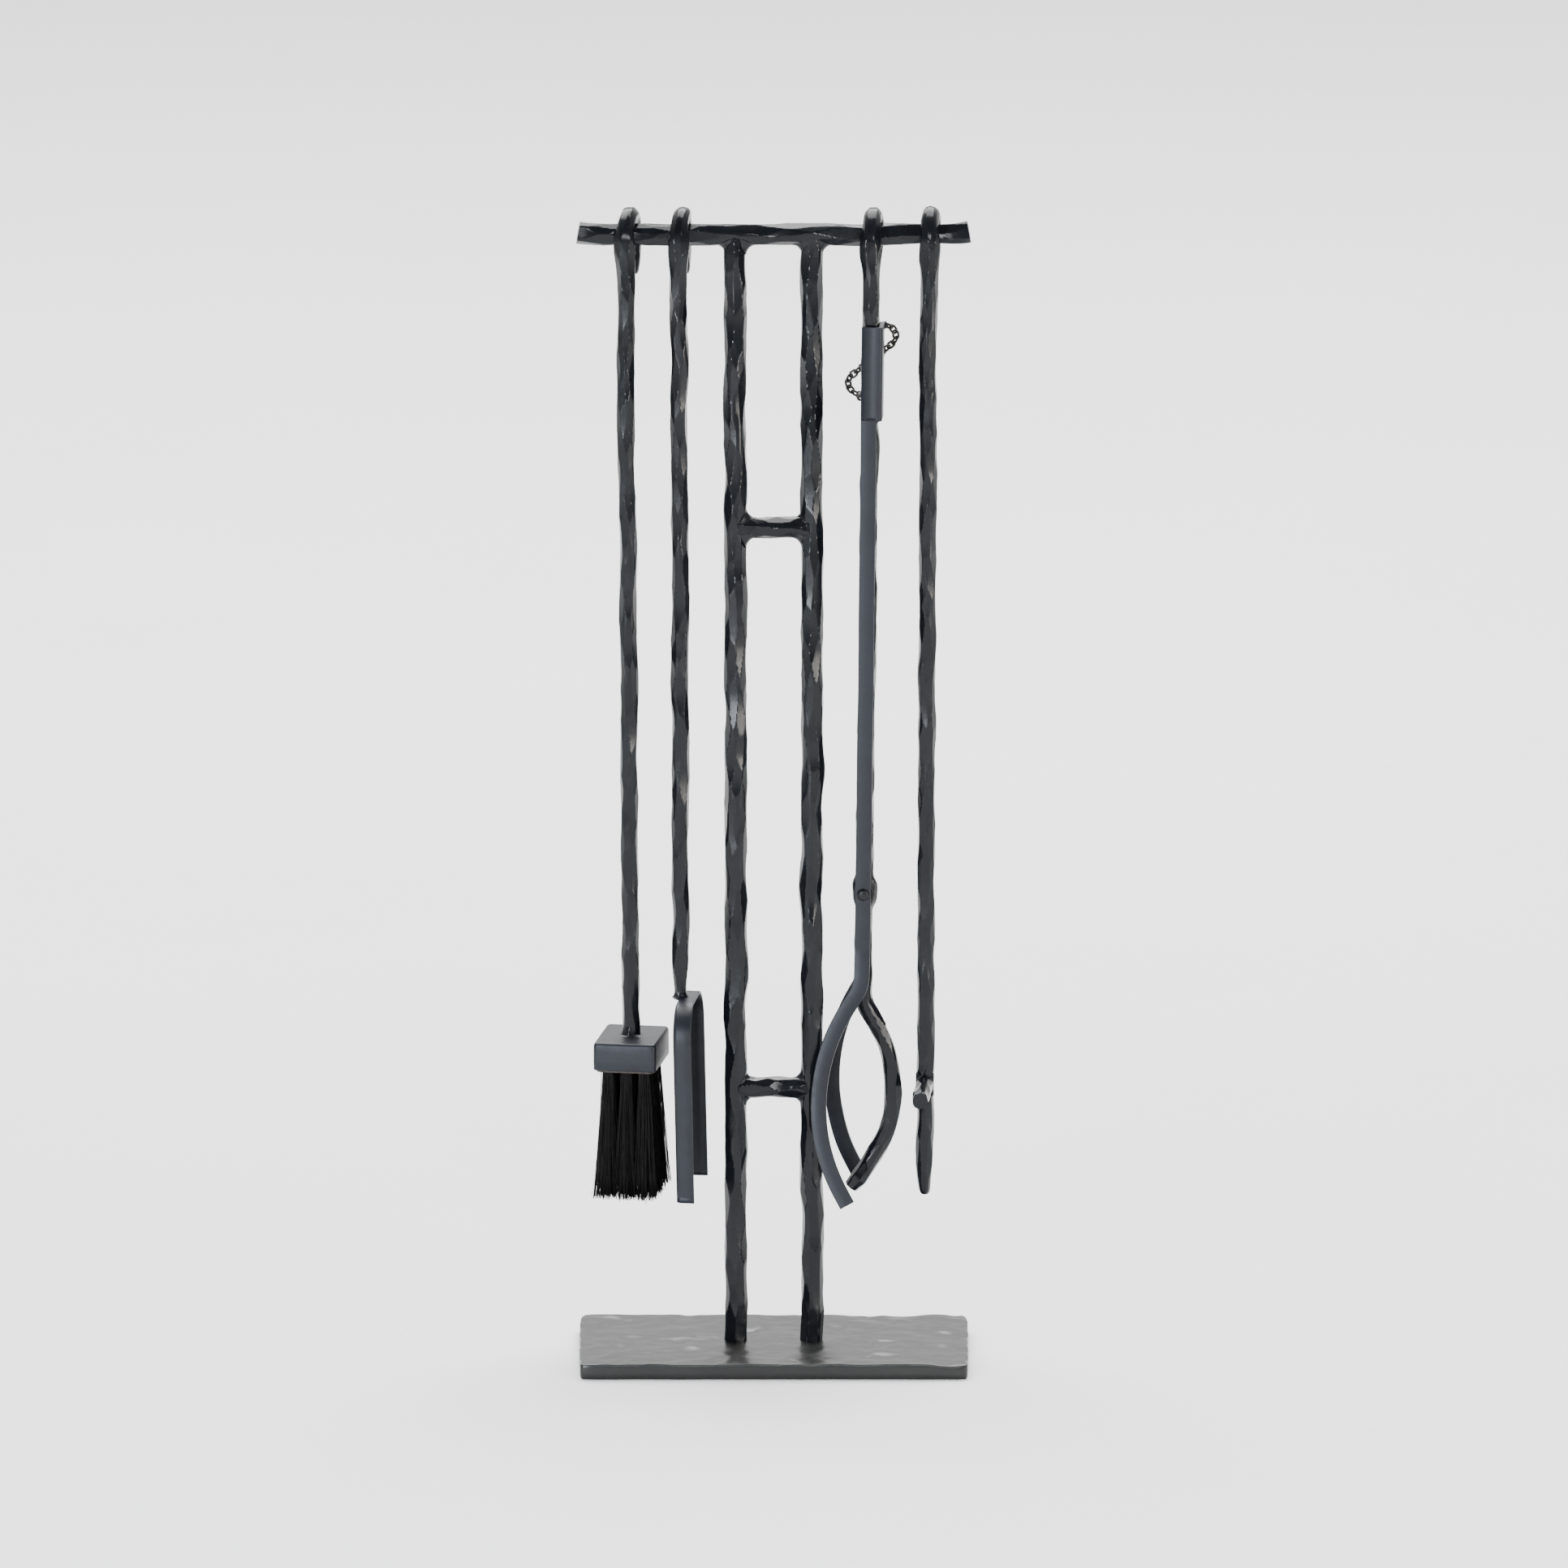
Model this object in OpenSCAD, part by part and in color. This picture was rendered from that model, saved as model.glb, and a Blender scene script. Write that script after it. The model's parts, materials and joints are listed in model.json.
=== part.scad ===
// Fireplace tool set: a welded stand with a brush, a shovel, tongs and a poker
// hung from its top bar. Millimetres, +Z up, +Y to the back.
// Origin: centre of the base plate's underside.

/* [Stand] */
// Width of the base plate
base_w = 264; // [240:2:300]
// Depth of the base plate
base_d = 152; // [152:2:180]
// Thickness of the base plate
base_t = 10.5; // [9:0.5:14]
// Corner radius of the base plate
base_corner_r = 6; // [3:1:12]
// Distance of each upright from the middle
upright_x = 25.8; // [24:0.1:26]
// Radius of the uprights
upright_r = 7.4; // [6.5:0.1:7.4]
// Height of the lower rung's centre
lower_rung_z = 186; // [170:1:200]
// Height of the upper rung's centre
upper_rung_z = 574; // [540:1:600]
// Radius of both rungs
rung_r = 7; // [5.5:0.1:7]
// Height of the hanging bar's centre
bar_z = 776; // [776:1:790]
// Radius of the hanging bar
bar_r = 7.2; // [6.4:0.1:7.2]
// Half the length of the hanging bar's straight part
bar_half = 113; // [112:1:120]
// Bend radius of the hanging bar's raised ends
bar_end_bend_r = 100; // [80:5:150]
// Bend angle of the hanging bar's raised ends
bar_end_angle = 11; // [5:1:15]
// Radius of the weld fillets in the frame's corners
fillet_r = 5; // [3:0.5:6]

/* [Tool bars] */
// Radius of the round bar the tools are forged from
tool_r = 5.75; // [5:0.05:5.75]
// Inner radius of each hook
hook_inner_r = 9; // [9:0.1:10]
// Gap between a hook and the top of the hanging bar
hook_gap = 0.15; // [0.1:0.05:0.3]
// How far each hook's tip curls in, in degrees
hook_curl = 8; // [4:1:9]
// Length of each hook's tapered tip
hook_tip_len = 26; // [20:1:30]
// Radius at each hook's tip
hook_tip_r = 3.5; // [2.5:0.1:4]

/* [Brush] */
// Position of the brush along the hanging bar
brush_x = -97.7; // [-98.5:0.1:-97.7]
// Turn of the brush about its handle
brush_yaw = 10; // [8:1:11]
// Backward lean at which the brush hangs still
brush_lean = 2.18; // [1.5:0.05:2.5]
// Sideways lean of the brush
brush_side = -0.35; // [-0.35:0.05:0]
// Width of the brush head
head_w = 43; // [38:1:43]
// Depth of the brush head
head_d = 55; // [50:1:60]
// Height of the brush head's cover
head_h = 19; // [16:1:22]
// Height of the top of the brush head
head_z = 221.5; // [215:1:230]
// Length of the bristles below the head
bristle_len = 91; // [70:1:94]

/* [Shovel] */
// Position of the shovel along the hanging bar
shovel_x = -62.4; // [-62.5:0.1:-62]
// Turn of the shovel about its handle
shovel_yaw = 6.8; // [5:0.1:7]
// Backward lean at which the shovel hangs still
shovel_lean = 2.26; // [1.5:0.05:2.5]
// Sideways lean of the shovel
shovel_side = -0.12; // [-0.2:0.02:0]
// Width of the shovel's pan
pan_w = 76; // [70:1:84]
// Length of the shovel's pan
pan_len = 135; // [120:1:138]
// Height of the pan's walls
pan_wall_h = 12.4; // [9:0.1:13]
// Thickness of the pan's sheet
pan_sheet = 1.8; // [1.2:0.1:2.2]
// Shoulder radius of the pan
pan_shoulder_r = 24; // [18:1:30]
// Height of the top of the pan
pan_z = 248; // [247:1:260]

/* [Tongs] */
// Position of the tongs along the hanging bar
tongs_x = 67.3; // [67.3:0.1:68]
// Turn of the tongs about their handle
tongs_yaw = 4.5; // [4:0.1:5]
// Backward lean at which the tongs hang still
tongs_lean = 2.47; // [1.5:0.05:2.8]
// Sideways lean of the tongs
tongs_side = 0.62; // [0.5:0.02:0.7]
// Height of the rivet
rivet_z = 321; // [318:1:325]
// Radius of the rivet's shank
rivet_r = 2.6; // [2.2:0.1:3]
// Radius of the eye boss around the rivet
boss_r = 8.6; // [7.5:0.1:9.5]
// Width of the lever's strips
strip_w = 10.5; // [9:0.5:10.5]
// Thickness of the lever's strips
strip_t = 2.8; // [2.4:0.1:3]
// Gap between the lever's two strips
strip_gap = 12.4; // [12.3:0.1:12.8]
// Outward splay of each prong, in degrees
prong_splay = 12.9; // [11:0.1:14]
// Height where the prongs start to splay
prong_bend_z = 280; // [275:1:290]
// Bottom of the lever's channel grip
channel_low_z = 652; // [640:1:670]
// Top of the lever's channel grip
channel_top_z = 717; // [705:1:718]

/* [Chain] */
// Radius of the chain's wire
wire_r = 0.45; // [0.4:0.05:0.45]
// Half the width of a chain link, to the wire's centre
link_r = 1.6; // [1.55:0.05:1.65]
// Length of a chain link's straight sides
link_side = 1.4; // [1.3:0.1:1.5]
// Number of chain links
link_count = 19; // [16:1:19]

/* [Poker] */
// Position of the poker along the hanging bar
poker_x = 105.9; // [105.5:0.1:106]
// Turn of the poker about its handle
poker_yaw = 4; // [0:1:6]
// Backward lean at which the poker hangs still
poker_lean = 2.67; // [1.5:0.05:2.8]
// Sideways lean of the poker
poker_side = 0.2; // [0:0.02:0.4]
// Height of the poker's tip
poker_tip_z = 108.5; // [106:1:125]
// Length of the poker's drawn-out point
point_len = 17; // [14:1:30]
// Height of the spur
spur_z = 187; // [175:1:200]
// Reach of the spur from the poker's axis
spur_len = 50; // [40:1:55]

/* [Build] */
// Node to draw, or all

/* [Hidden] */

$fn = 64;
eps = 0.01;
sides = [-1, 1];

steel_color = [0.16, 0.17, 0.19];
strip_color = [0.24, 0.26, 0.30];
base_color = [0.40, 0.41, 0.41];
weld_color = [0.20, 0.21, 0.23];
bristle_color = [0.08, 0.08, 0.08];
core_color = [0.35, 0.25, 0.16];
chain_color = [0.20, 0.17, 0.15];

// base screws: countersunk heads let into the plate's underside
screw_r = 4;
screw_head_r = 7.5;
screw_head_h = 3.8;
screw_sink = 0.4;
screw_len = 30;
screw_socket_r = 2.3;
screw_socket_h = 2;
screw_play = 0.05;

// hooks: the centreline's radius and its centre's height
hook_r = hook_inner_r + tool_r;
hook_z = bar_z + bar_r + hook_gap - hook_inner_r;
shaft_y = -hook_r;

// seams: the swept lengths of a bar stop a little short of each other, inside a band
seam_gap = 0.15;
seam_half = 0.5;
seam_rise = 0.06;

// brush head: sheet cover around a solid block that holds the tufts
cover_sheet = 1.5;
cover_corner_r = 6;
cover_edge_r = 2;
core_play = 0.05;
core_h = head_h;
core_drop = 3;
handle_sink = 8;
tuft_rows = 5;
tuft_columns = 4;
tuft_pitch_x = 9.8;
tuft_pitch_y = 10;
tuft_root_r = 3.3;
tuft_end_r = 4.3;
tuft_sink = 6;
tuft_overlap = 1;
tuft_inset = 0.15;
tuft_lean_x = 0.16;
tuft_lean_y = 0.26;
tuft_places = [
    for (column = [0 : tuft_columns - 1])
    for (row = [0 : tuft_rows - 1])
    [
        (column - (tuft_columns - 1) / 2) * tuft_pitch_x,
        (row - (tuft_rows - 1) / 2) * tuft_pitch_y
    ]
];

// shovel: the handle's end is drawn down to a neck that is welded to the pan
neck_len = 22;
neck_r = 3.8;
pan_offset = -1.6;
pan_corner_r = pan_shoulder_r - pan_sheet;

// tongs: eye boss, washers and rivet heads around the pivot
boss_half = 5.4;
washer_r = 6.5;
washer_gap = 0.15;
pivot_play = 0.06;
rivet_head_r = 4.4;
rivet_head_h = 1.9;
strip_in = strip_gap / 2;
strip_out = strip_in + strip_t;
web_in = 6.2;
web_t = 2.7;
channel_left = -5.4;

// tongs: the jaw and the prongs each leave the straight, then bend back
jaw_start_z = 252;
jaw_out_angle = 33;
jaw_out_r = 25;
jaw_run = 4;
jaw_back_r = 96;
jaw_back_angle = 72;
jaw_tip_run = 11;
prong_start_z = 264;
prong_out_r = 25;
// the front prong bows out past the upright, the rear one stays beside it:
// each list holds [rear, front]
prong_out_angles = [27, 31];
prong_runs = [8.4, 11.4];
prong_back_rs = [148, 123];
prong_back_angles = [51, 61];
prong_tip_runs = [11.3, 10];

// chain: path from the grip's corner, behind the grip, to the bar's left side
link_slack = 0.34;
link_pitch = 2 * link_r - 2 * wire_r + link_side - link_slack;
chain_y = -3.2;
right_r = 7.5;
right_sweep = 140;
right_centre = [9.5, channel_top_z - 11];
right_len = right_r * right_sweep * PI / 180;
slant_heading = [sin(90 - right_sweep), -cos(90 - right_sweep)];
slant_start = right_centre + right_r * [cos(90 - right_sweep), sin(90 - right_sweep)];
slant_len = 32;
left_r = 7;
left_centre = slant_start + slant_len * slant_heading
    - left_r * [cos(270 - right_sweep), sin(270 - right_sweep)];
anchor_z = 667;
anchor_x = 7.5;
anchor_r = 1.4;
anchor_stem_r = 1.2;
anchor_reach = 9.4;

// poker: weld around the spur's root
spur_weld_r = 7.4;
spur_weld_len = 9;
point_tip_r = 2.4;

// ---- helpers ----

// hangs a tool: its own frame has the hanging bar along X at bar_z
module hung(x, yaw, lean, side) {
    translate([x, 0, bar_z])
    rotate([lean, side, 0])
    rotate([0, 0, -yaw])
    translate([0, 0, -bar_z])
    children();
}

module in_brush() {
    hung(brush_x, brush_yaw, brush_lean, brush_side) children();
}

module in_shovel() {
    hung(shovel_x, shovel_yaw, shovel_lean, shovel_side) children();
}

module in_tongs() {
    hung(tongs_x, tongs_yaw, tongs_lean, tongs_side) children();
}

module in_poker() {
    hung(poker_x, poker_yaw, poker_lean, poker_side) children();
}

// sweeps children along an arc that starts at the origin heading down -Z
// and turns toward +X: the cross section is drawn in XY
module arc_piece(r, angle) {
    trim = seam_gap / r * 180 / PI;
    translate([r, 0, 0])
    rotate([90, 0, 0])
    rotate([0, 0, 180 + trim])
    rotate_extrude(angle = angle - 2 * trim)
    translate([r, 0])
    children();
}

// forge seam: a slightly raised band that joins two lengths of a tool bar
module bar_seam() {
    cylinder(h = 2 * seam_half, r = tool_r + seam_rise, center = true);
}

// the same for a flat strip
module strip_seam() {
    cube([strip_w + 2 * seam_rise, strip_t + 2 * seam_rise, 2 * seam_half], center = true);
}

// moves children to the end of such an arc
module after_arc(r, angle) {
    translate([r - r * cos(angle), 0, -r * sin(angle)])
    rotate([0, -angle, 0])
    children();
}

// moves children to the end of an arc that turns toward -X
module after_back_arc(r, angle) {
    mirror([1, 0, 0])
    after_arc(r, angle)
    mirror([1, 0, 0])
    children();
}

module back_arc_piece(r, angle) {
    mirror([1, 0, 0])
    arc_piece(r, angle)
    children();
}

// hook and straight shaft of a tool, down to low_z
module hooked_bar(low_z) {
    translate([0, shaft_y, low_z])
    cylinder(h = hook_z - low_z - seam_gap, r = tool_r);
    translate([0, 0, hook_z]) {
        hook_bend(-hook_curl, 90 + hook_curl);
        hook_bend(90, 90);
        for (angle = [-hook_curl, 90, 180]) {
            rotate([angle, 0, 0])
            translate([0, hook_r, 0])
            bar_seam();
        }
        rotate([-hook_curl, 0, 0])
        translate([0, hook_r, -hook_tip_len])
        cylinder(h = hook_tip_len - seam_gap, r1 = hook_tip_r, r2 = tool_r);
    }
}

// part of the hook's bend, whose angles run from the rear leg over the bar
module hook_bend(start, angle) {
    trim = seam_gap / hook_r * 180 / PI;
    rotate([90, 0, 90])
    rotate([0, 0, start + trim])
    rotate_extrude(angle = angle - 2 * trim)
    translate([hook_r, 0])
    circle(r = tool_r);
}

// fills the corner between two bars that meet at right angles in XZ
module corner_fillet(r, thickness) {
    rotate([90, 0, 0])
    translate([0, 0, -thickness / 2])
    linear_extrude(height = thickness)
    difference() {
        translate([-rung_r, -rung_r])
        square([r + rung_r, r + rung_r]);
        translate([r, r])
        circle(r = r);
    }
}

// ---- stand ----

module base_plate() {
    color(base_color)
    difference() {
        linear_extrude(height = base_t)
        rounded_rectangle(base_w, base_d, base_corner_r);
        for (side = sides) {
            translate([side * upright_x, 0, -eps])
            cylinder(h = base_t + 2 * eps, r = screw_r + screw_play);
            translate([side * upright_x, 0, screw_sink])
            cylinder(h = screw_head_h, r1 = screw_head_r, r2 = screw_r + screw_play);
            translate([side * upright_x, 0, -eps])
            cylinder(h = screw_sink + 2 * eps, r = screw_head_r);
        }
    }
}

module rounded_rectangle(w, d, r) {
    square([w - 2 * r, d], center = true);
    square([w, d - 2 * r], center = true);
    for (side_x = sides) {
        for (side_y = sides) {
            translate([side_x * (w / 2 - r), side_y * (d / 2 - r)])
            circle(r = r);
        }
    }
}

module upright(side) {
    color(steel_color)
    difference() {
        translate([side * upright_x, 0, base_t])
        cylinder(h = bar_z - base_t, r = upright_r);
        straight_bar(bar_r);
        translate([side * upright_x, 0, base_t - eps])
        cylinder(h = screw_len - base_t + 2 * eps, r = screw_r);
    }
}

module left_upright() {
    upright(-1);
}

module right_upright() {
    upright(1);
}

module straight_bar(r) {
    translate([-bar_half, 0, bar_z])
    rotate([0, 90, 0])
    cylinder(h = 2 * bar_half, r = r);
}

module upright_cylinders() {
    for (side = sides) {
        translate([side * upright_x, 0, 0])
        cylinder(h = bar_z, r = upright_r);
    }
}

module rung_cylinder(z) {
    translate([-upright_x, 0, z])
    rotate([0, 90, 0])
    cylinder(h = 2 * upright_x, r = rung_r);
}

module rung(z) {
    color(steel_color)
    difference() {
        rung_cylinder(z);
        upright_cylinders();
    }
}

module lower_rung() {
    rung(lower_rung_z);
}

module upper_rung() {
    rung(upper_rung_z);
}

module hanging_bar() {
    color(steel_color) {
        straight_bar(bar_r);
        for (side = sides) {
            translate([side * bar_half, 0, bar_z])
            mirror([side < 0 ? 1 : 0, 0, 0])
            raised_end();
        }
    }
}

// one end of the hanging bar, bent gently upward
module raised_end() {
    translate([0, 0, bar_end_bend_r])
    rotate([90, 0, 0])
    rotate([0, 0, -90])
    rotate_extrude(angle = bar_end_angle)
    translate([bar_end_bend_r, 0])
    circle(r = bar_r);
}

module rung_welds() {
    color(weld_color)
    difference() {
        for (z = [lower_rung_z, upper_rung_z]) {
            for (side = sides) {
                for (up = sides) {
                    translate([side * (upright_x - upright_r), 0, z + up * rung_r])
                    mirror([side > 0 ? 1 : 0, 0, 0])
                    mirror([0, 0, up < 0 ? 1 : 0])
                    corner_fillet(fillet_r, upright_r);
                }
            }
        }
        upright_cylinders();
        rung_cylinder(lower_rung_z);
        rung_cylinder(upper_rung_z);
    }
}

module bar_welds() {
    color(weld_color)
    difference() {
        for (side = sides) {
            for (out = sides) {
                translate([side * upright_x + out * upright_r, 0, bar_z - bar_r])
                mirror([out < 0 ? 1 : 0, 0, 0])
                mirror([0, 0, 1])
                corner_fillet(fillet_r, upright_r);
            }
        }
        upright_cylinders();
        straight_bar(bar_r);
    }
}

module base_screws() {
    color(weld_color)
    for (side = sides) {
        translate([side * upright_x, 0, 0])
        difference() {
            union() {
                translate([0, 0, screw_sink])
                cylinder(h = screw_head_h, r1 = screw_head_r - screw_play, r2 = screw_r);
                translate([0, 0, screw_sink])
                cylinder(h = screw_len - screw_sink, r = screw_r);
            }
            translate([0, 0, screw_sink - eps])
            cylinder(h = screw_socket_h, r = screw_socket_r, $fn = 6);
        }
    }
}

// ---- brush ----

module brush_handle() {
    color(steel_color)
    in_brush()
    hooked_bar(head_z - handle_sink);
}

// small flared weld where the handle meets the cover
module brush_weld() {
    color(weld_color)
    in_brush()
    translate([0, shaft_y, head_z])
    ring_weld(tool_r, 3);
}

module ring_weld(r, leg) {
    rotate_extrude()
    difference() {
        translate([r, 0])
        square([leg, leg]);
        translate([r + leg, leg])
        circle(r = leg);
    }
}

module brush_cover() {
    color(strip_color)
    in_brush()
    translate([0, shaft_y, head_z - head_h])
    difference() {
        intersection() {
            linear_extrude(height = head_h)
            rounded_rectangle(head_w, head_d, cover_corner_r);
            rounded_top(head_w, head_d);
            rotate([0, 0, 90])
            rounded_top(head_d, head_w);
        }
        translate([0, 0, -eps])
        linear_extrude(height = head_h - cover_sheet + eps)
        rounded_rectangle(head_w - 2 * cover_sheet, head_d - 2 * cover_sheet,
            cover_corner_r - cover_sheet);
        cylinder(h = head_h + eps, r = tool_r);
    }
}

// block of the cover's height with two rounded upper edges along Y
module rounded_top(w, d) {
    rotate([90, 0, 0])
    translate([0, 0, -d])
    linear_extrude(height = 2 * d) {
        translate([-w / 2, 0])
        square([w, head_h - cover_edge_r]);
        translate([-w / 2 + cover_edge_r, 0])
        square([w - 2 * cover_edge_r, head_h]);
        for (side = sides) {
            translate([side * (w / 2 - cover_edge_r), head_h - cover_edge_r])
            circle(r = cover_edge_r);
        }
    }
}

module brush_core() {
    inset = 2 * (cover_sheet + core_play);
    color(core_color)
    in_brush()
    translate([0, shaft_y, head_z - cover_sheet - core_play - core_h])
    difference() {
        linear_extrude(height = core_h)
        rounded_rectangle(head_w - inset, head_d - inset,
            cover_corner_r - cover_sheet - core_play);
        translate([0, 0, core_h + cover_sheet + core_play - handle_sink])
        cylinder(h = handle_sink, r = tool_r);
        for (place = tuft_places) {
            translate([place[0], place[1], 0])
            cylinder(h = tuft_sink, r = tuft_root_r);
        }
    }
}

// one tuft, with its root sunk in the block whose underside is at z = 0
module tuft(x, y) {
    translate([x, y, 0]) {
        cylinder(h = tuft_sink, r = tuft_root_r);
        rotate([180, 0, 0])
        rotate([y * tuft_lean_y, x * tuft_lean_x, 0])
        translate([0, 0, -tuft_overlap])
        cylinder(h = bristle_len - core_drop + tuft_overlap,
            r1 = tuft_root_r - tuft_inset, r2 = tuft_end_r);
    }
}

module bristle_tufts() {
    color(bristle_color)
    in_brush()
    translate([0, shaft_y, head_z - cover_sheet - core_play - core_h])
    for (place = tuft_places) {
        tuft(place[0], place[1]);
    }
}

// ---- shovel ----

module shovel_handle() {
    color(steel_color)
    in_shovel() {
        hooked_bar(pan_z + neck_len + seam_gap);
        translate([0, shaft_y, pan_z + neck_len])
        bar_seam();
        translate([0, shaft_y, pan_z])
        cylinder(h = neck_len - seam_gap, r1 = neck_r, r2 = tool_r);
    }
}

module shovel_weld() {
    color(weld_color)
    in_shovel()
    translate([0, shaft_y, pan_z])
    difference() {
        ring_weld(neck_r, 2.4);
        cylinder(h = neck_len, r1 = neck_r, r2 = tool_r);
    }
}

// outline of the pan: straight mouth at the bottom, rounded shoulders on top
module pan_outline(w, len, r) {
    translate([-w / 2, -len])
    square([w, len - r]);
    translate([-w / 2 + r, -len])
    square([w - 2 * r, len]);
    for (side = sides) {
        translate([side * (w / 2 - r), -r])
        circle(r = r);
    }
}

module shovel_pan() {
    inner_w = pan_w - 2 * pan_sheet;
    color(strip_color)
    in_shovel()
    translate([pan_offset, shaft_y, pan_z])
    rotate([90, 0, 90])
    difference() {
        linear_extrude(height = pan_wall_h)
        pan_outline(pan_w, pan_len, pan_shoulder_r);
        translate([0, -pan_sheet, pan_sheet])
        linear_extrude(height = pan_wall_h)
        pan_outline(inner_w, pan_len, pan_corner_r);
    }
}

// ---- tongs ----

module tongs_bar() {
    color(steel_color)
    in_tongs()
    difference() {
        union() {
            hooked_bar(jaw_start_z + seam_gap);
            translate([0, shaft_y, jaw_start_z]) {
                bar_seam();
                arc_piece(jaw_out_r, jaw_out_angle)
                circle(r = tool_r);
                after_arc(jaw_out_r, jaw_out_angle) {
                    bar_seam();
                    straight_bar_run(jaw_run);
                    translate([0, 0, -jaw_run]) {
                        bar_seam();
                        back_arc_piece(jaw_back_r, jaw_back_angle)
                        circle(r = tool_r);
                        after_back_arc(jaw_back_r, jaw_back_angle) {
                            bar_seam();
                            straight_bar_run(jaw_tip_run);
                        }
                    }
                }
            }
            pivot_cylinder(boss_r, boss_half);
        }
        pivot_cylinder(rivet_r, boss_half + tool_r);
        for (side = sides) {
            translate([-boss_r - eps, shaft_y + side * (boss_half + boss_r / 2) - boss_r / 2,
                rivet_z - boss_r])
            cube([2 * boss_r + 2 * eps, boss_r, 2 * boss_r]);
        }
    }
}

// cylinder about the tongs' pivot, reaching half_len each way
// straight length of tool bar that hangs down from a seam
module straight_bar_run(len) {
    translate([0, 0, -len + seam_gap])
    cylinder(h = len - 2 * seam_gap, r = tool_r);
}

module pivot_cylinder(r, half_len) {
    translate([0, shaft_y + half_len, rivet_z])
    rotate([90, 0, 0])
    cylinder(h = 2 * half_len, r = r);
}

module tongs_rivet() {
    head_in = strip_out + washer_gap;
    color(weld_color)
    in_tongs() {
        pivot_cylinder(rivet_r, head_in);
        for (side = sides) {
            translate([0, shaft_y + side * head_in, rivet_z])
            rotate([-side * 90, 0, 0])
            cylinder(h = rivet_head_h, r1 = rivet_head_r, r2 = rivet_r);
        }
    }
}

module rivet_washers() {
    color(weld_color)
    in_tongs()
    difference() {
        pivot_cylinder(washer_r, strip_in - washer_gap);
        pivot_cylinder(washer_r + 1, boss_half);
        pivot_cylinder(rivet_r, strip_in);
    }
}

module lever_strip(side) {
    inner = side > 0 ? strip_in : -strip_out;
    translate([-strip_w / 2, shaft_y + inner, prong_bend_z + seam_gap])
    cube([strip_w, strip_t, channel_low_z - prong_bend_z - seam_gap + eps]);
    translate([0, shaft_y + side * (strip_in + strip_t / 2), prong_bend_z]) {
        strip_bend();
        rotate([side * prong_splay, 0, 0])
        translate([0, 0, -prong_bend_z])
        prong(side > 0 ? 0 : 1);
    }
}

// rounded bend that joins a strip's straight length to its splayed prong
module strip_bend() {
    rotate([0, 90, 0])
    cylinder(h = strip_w + 2 * seam_rise, r = strip_t / 2 + seam_rise, center = true);
}

// one prong in its own plane, before it is splayed
module prong(i) {
    translate([-strip_w / 2, -strip_t / 2, prong_start_z + seam_gap])
    cube([strip_w, strip_t, prong_bend_z - prong_start_z - 2 * seam_gap]);
    translate([0, 0, prong_start_z]) {
        strip_seam();
        back_arc_piece(prong_out_r, prong_out_angles[i])
        strip_section();
        after_back_arc(prong_out_r, prong_out_angles[i]) {
            strip_seam();
            straight_strip(prong_runs[i]);
            translate([0, 0, -prong_runs[i]]) {
                strip_seam();
                arc_piece(prong_back_rs[i], prong_back_angles[i])
                strip_section();
                after_arc(prong_back_rs[i], prong_back_angles[i]) {
                    strip_seam();
                    straight_strip(prong_tip_runs[i]);
                }
            }
        }
    }
}

module strip_section() {
    square([strip_w, strip_t], center = true);
}

module straight_strip(len) {
    translate([-strip_w / 2, -strip_t / 2, -len + seam_gap])
    cube([strip_w, strip_t, len - 2 * seam_gap]);
}

module tongs_lever() {
    color(strip_color)
    in_tongs()
    difference() {
        union() {
            lever_strip(-1);
            lever_strip(1);
            translate([channel_left, shaft_y - strip_out, channel_low_z])
            cube([web_in + web_t - channel_left, 2 * strip_out, channel_top_z - channel_low_z]);
        }
        translate([channel_left - eps, shaft_y - strip_in, channel_low_z - eps])
        cube([web_in - channel_left + eps, strip_gap,
            channel_top_z - channel_low_z + 2 * eps]);
        pivot_cylinder(rivet_r + pivot_play, strip_out + 1);
    }
}

// place and heading of the chain at distance s along its path, in the XZ plane:
// a bight to the right, a slanting run behind the grip, and a bight to the left
function chain_place(s) =
    s < right_len
        ? let (a = 90 - s / right_r * 180 / PI)
            [right_centre + right_r * [cos(a), sin(a)], -a]
        : s < right_len + slant_len
            ? [slant_start + (s - right_len) * slant_heading, right_sweep - 90]
            : let (a = 270 - right_sweep
                    + (s - right_len - slant_len) / left_r * 180 / PI)
                [left_centre + left_r * [cos(a), sin(a)], 180 - a];

module link() {
    $fn = 24;
    for (up = [0, 1]) {
        mirror([0, 0, up])
        translate([0, 0, link_side / 2])
        rotate([90, 0, 0])
        rotate_extrude(angle = 180)
        translate([link_r, 0])
        circle(r = wire_r);
    }
    for (side = sides) {
        translate([side * link_r, 0, -link_side / 2])
        cylinder(h = link_side, r = wire_r);
    }
}

module tongs_chain() {
    color(chain_color)
    in_tongs()
    for (i = [0 : link_count - 1]) {
        place = chain_place((i + 0.5) * link_pitch);
        translate([place[0][0], chain_y, place[0][1]])
        rotate([0, place[1], 0])
        rotate([0, 0, 45 + 90 * (i % 2)])
        link();
    }
}

module chain_weld() {
    color(weld_color)
    in_tongs()
    translate([web_in + web_t, shaft_y + strip_out, channel_top_z - 3])
    sphere(r = 2.6);
}

// pin on the left side of the tongs' bar that ends beside the chain's last link
module chain_anchor() {
    color(chain_color)
    in_tongs()
    difference() {
        translate([-anchor_x, shaft_y, anchor_z]) {
            translate([0, -anchor_r, 0])
            rotate([-90, 0, 0])
            cylinder(h = anchor_reach + anchor_r, r = anchor_r);
            rotate([0, 90, 0])
            cylinder(h = anchor_x - tool_r / 2, r = anchor_stem_r);
        }
        translate([0, shaft_y, anchor_z - 5])
        cylinder(h = 10, r = tool_r);
    }
}

// ---- poker ----

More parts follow.
